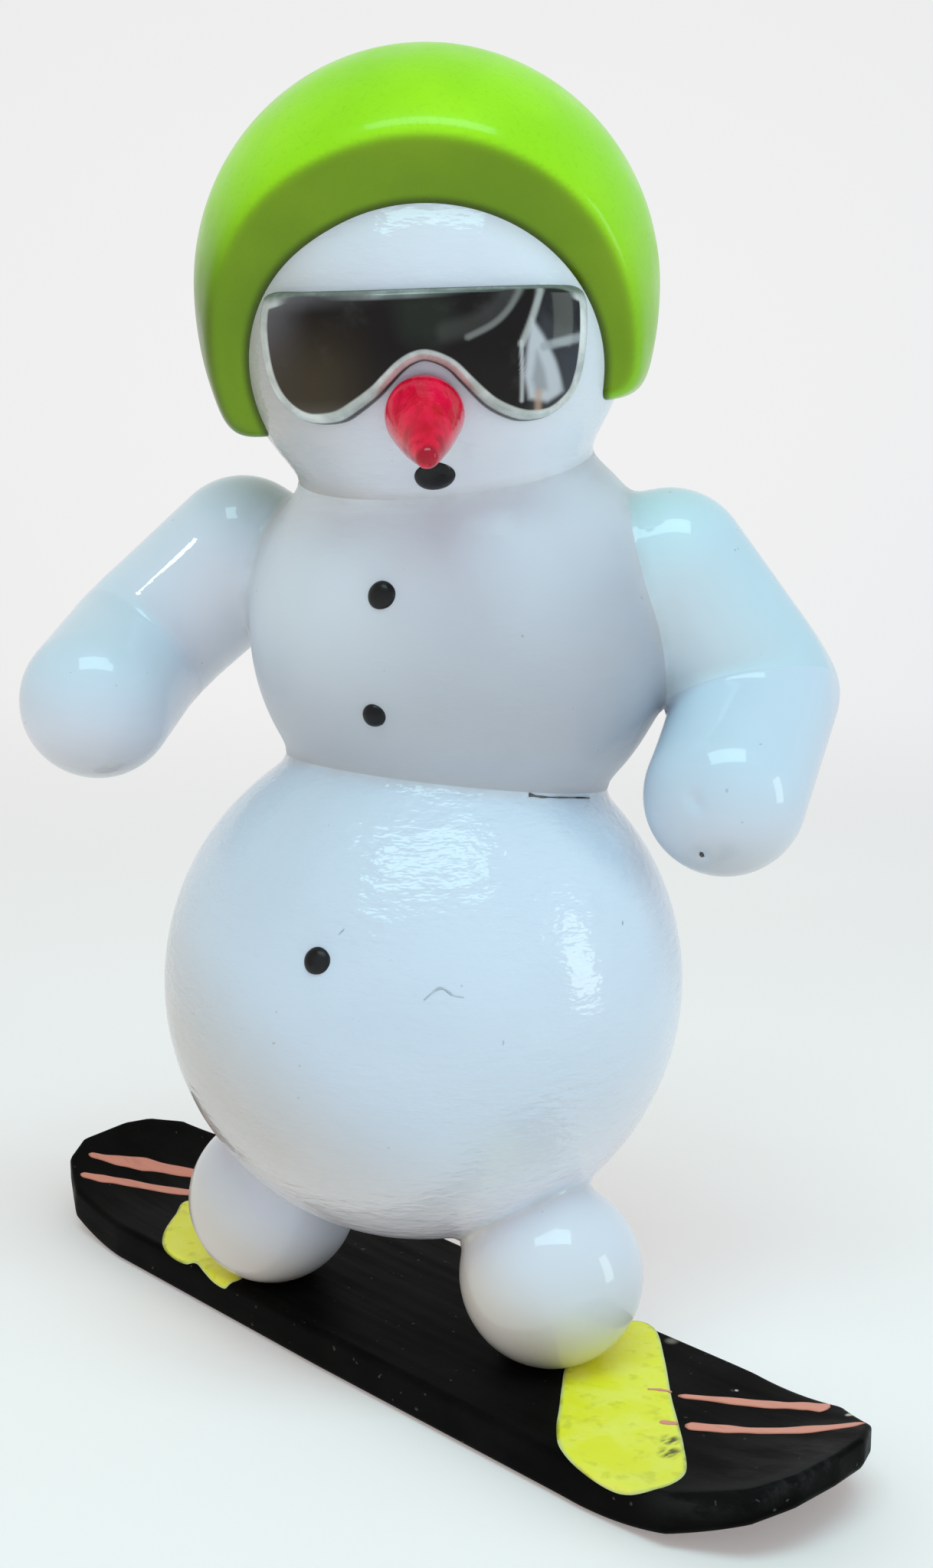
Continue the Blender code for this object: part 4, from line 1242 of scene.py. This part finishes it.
BINDINGS = {
    "left_binding_paint": (
        (13.8, 8.3), (15.7, 8.35), (18.9, 5.6), (22.3, 2.3), (24.7, 0.15), (26.9, -1.9),
        (29.2, -4.4), (29.6, -6.2), (28.9, -7.5), (27.0, -8.3), (24.4, -8.1), (22.0, -7.4),
        (20.2, -5.9), (18.6, -4.0), (16.9, -2.0), (15.2, 0.1), (13.6, 3.0), (13.0, 6.0)),
    "right_binding_paint": (
        (-23.9, -1.7), (-22.3, -4.1), (-20.3, -6.5), (-18.3, -8.0), (-16.6, -8.45), (-15.0, -8.4),
        (-14.1, -8.0), (-12.8, -8.3), (-11.2, -8.7), (-10.0, -8.5), (-9.8, -7.0), (-11.5, -4.0),
        (-15.0, -1.2), (-20.0, 0.2))}
STRIPES = {                        # line in plan, widths along it, height over other paint
    "leading_stripe_back": (((22.6, 2.6), (25.1, 4.35), (27.6, 5.75), (29.4, 6.7), (30.9, 7.05)),
                            (0.55, 0.85, 1.05, 1.30, 1.15), 0.0),
    "leading_stripe_front": (((25.3, 0.1), (27.4, 1.35), (29.6, 2.5), (32.1, 3.95), (34.6, 5.5)),
                             (0.85, 1.05, 0.95, 1.10, 0.70), 0.0),
    "leading_stripe_trace": (((20.8, 1.75), (21.4, 2.25), (22.1, 2.6)), (0.25, 0.40, 0.25), 0.05),
    "leading_stripe_fleck": (((24.0, -0.75), (24.5, -0.45), (24.9, -0.1)),
                             (0.45, 0.62, 0.30), 0.05),
    "trailing_stripe_back": (((-34.0, -4.3), (-32.6, -2.9), (-30.9, -1.0), (-28.1, 1.3),
                              (-25.0, 3.6)), (0.60, 1.15, 1.85, 1.60, 1.20), 0.0),
    "trailing_stripe_front": (((-32.1, -6.3), (-30.9, -5.2), (-29.2, -3.6), (-25.5, -1.0),
                               (-22.0, 1.4)), (0.60, 0.95, 1.15, 1.05, 0.80), 0.0)}


def make_board_paint():
    yellow, pink = binding_paint(), stripe_paint()
    for name, outline in BINDINGS.items():
        make_film(name, skin(outline), yellow)
    for name, (line, widths, over) in STRIPES.items():
        make_stroke(name, skin(line), widths, pink, over)


# ---- setting ----

CAMERA_PLACE = (95.6578, -84.6633, 63.4941)
CAMERA_RIGHT = (0.68661, 0.72702, 0.0)
CAMERA_DOWN = (0.13624, -0.12867, -0.98228)
CAMERA_AHEAD = (-0.71414, 0.67445, -0.18740)
CAMERA_CLIP = (0.005, 20.0)
SENSOR = 36.0
FOCAL_SHARE = 2544.32 / 2048       # focal length over the picture's height, in its pixels
STUDIO_LOBES = (                   # a direction, and the colour of the light that comes from there
    ((0.0, 0.0, 1.0), (0.36, 0.32, 0.29)),
    (LEFTWARD, (0.62, 0.61, 0.57)),
    ((0.687, 0.727, 0.0), (0.52, 0.62, 0.74)),
    ((0.727, -0.687, 0.0), (0.62, 0.67, 0.75)),
    ((-0.727, 0.687, 0.0), (0.88, 0.88, 0.88)))
FLOOR_GLOW = (0.24, 0.21, 0.20)
FLOOR_REACH = 4
FLOOR_DROP = 0.0001
FLOOR_SWEEP = (0.07, 0.34)         # metres out where the floor turns into the background
PANEL_AIM = Vector((0.002, 0.002, 0.042))
PANELS = {                         # direction, distance, size, watts, colour
    "overhead_panel": ((0.30, -0.25, 0.92), 0.42, (0.34, 0.15), 0.80, (0.58, 0.95, 1.0)),
    "side_window": ((0.86, 0.50, 0.10), 0.45, (0.10, 0.24), 0.32, (0.80, 0.95, 0.85)),
    "arm_light": ((-0.46, -0.848, 0.265), 0.45, (0.04, 0.04), 0.09, (0.85, 1.0, 1.0))}
NO_WINDOW = ("left_upper_arm_painted", "chest_painted")


def make_camera():
    camera = add_object("camera", bpy.data.cameras.new("camera"))
    back, up = [-c for c in CAMERA_AHEAD], [-c for c in CAMERA_DOWN]
    turn = Matrix((CAMERA_RIGHT, up, back)).transposed()
    camera.matrix_world = Matrix.Translation(Vector(CAMERA_PLACE) * MM) @ turn.to_4x4()
    camera.data.sensor_width = SENSOR
    camera.data.lens = SENSOR * FOCAL_SHARE
    camera.data.clip_start, camera.data.clip_end = CAMERA_CLIP
    bpy.context.scene.camera = camera


def add_panel(name, lit=None):
    """A rectangular soft box that faces the figure. It lights only the lit pieces, if given."""
    direction, distance, size, power, colour = PANELS[name]
    light = bpy.data.lights.new(name, "AREA")
    light.shape = "RECTANGLE"
    light.size, light.size_y = size
    light.energy = power
    light.color = colour
    panel = add_object(name, light)
    direction = Vector(direction).normalized()
    panel.location = PANEL_AIM + direction * distance
    panel.rotation_mode = "QUATERNION"
    panel.rotation_quaternion = direction.to_track_quat("Z", "Y")
    if lit:
        panel.light_linking.receiver_collection = bpy.data.collections.new("lit_by_" + name)
        for piece in lit:
            panel.light_linking.receiver_collection.objects.link(piece)


def studio_light(n, direction):
    """The light that comes from a direction: a sum of soft lobes."""
    total = None
    for toward, colour in STUDIO_LOBES:
        facing = n.math("MAXIMUM", n.vector("DOT_PRODUCT", direction, toward), 0.0)
        lobe = n.vector("SCALE", colour, n.math("POWER", facing, 2.0))
        total = lobe if total is None else n.vector("ADD", total, lobe)
    return total


def make_floor():
    """A pale matt floor that glows faintly and fades into the studio's own light further out."""
    n = Paint("pale_floor")
    n.set(Base_Color=n.vary(n.noise(9, 3), 0.3, 0.7, (0.80, 0.80, 0.79), (0.84, 0.84, 0.83)))
    n.set(Roughness=0.8, Specular_IOR_Level=0.2)
    n.set(Emission_Color=FLOOR_GLOW, Emission_Strength=1.0)
    sweep = n.add("ShaderNodeEmission")
    n.put(sweep.inputs["Color"], studio_light(n, n.vector("NORMALIZE", n.place)))
    fade = n.add("ShaderNodeMixShader")
    n.put(fade.inputs[0], n.between(n.vector("LENGTH", n.place), *FLOOR_SWEEP))
    n.put(fade.inputs[1], n.shader.outputs[0])
    n.put(fade.inputs[2], sweep.outputs[0])
    n.put(n.tree.nodes["Material Output"].inputs["Surface"], fade.outputs[0])
    mesh = bpy.data.meshes.new("floor")
    far = FLOOR_REACH
    corners = [(-far, -far, 0), (far, -far, 0), (far, far, 0), (-far, far, 0)]
    mesh.from_pydata(corners, [], [(0, 1, 2, 3)])
    mesh.materials.append(n.material)
    floor = add_object("floor", mesh)
    floor.location.z = -FLOOR_DROP


def make_setting():
    make_floor()
    world = bpy.data.worlds.new("studio")
    bpy.context.scene.world = world
    n = Nodes(world)
    direction = n.add("ShaderNodeTexCoord").outputs["Generated"]
    n.put(n.tree.nodes["Background"].inputs["Color"], studio_light(n, direction))
    add_panel("overhead_panel")
    add_panel("side_window", [piece for piece in bpy.data.objects
                              if piece.type == "MESH" and piece.name not in NO_WINDOW])
    add_panel("arm_light", [bpy.data.objects["right_upper_arm_painted"]])
    bpy.context.scene.view_settings.view_transform = "Standard"


def main():
    make_white_pieces()
    make_helmet()
    make_goggles()
    make_nose()
    black = black_dot_paint()
    for name, dot in DOTS.items():
        make_dot(name, *dot, black)
    make_board()
    make_board_paint()
    make_marks()
    wood = beech()
    for name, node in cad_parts.items():
        if name.endswith("_dowel"):
            node.data.materials.clear()
            node.data.materials.append(wood)
    make_setting()
    make_camera()


main()
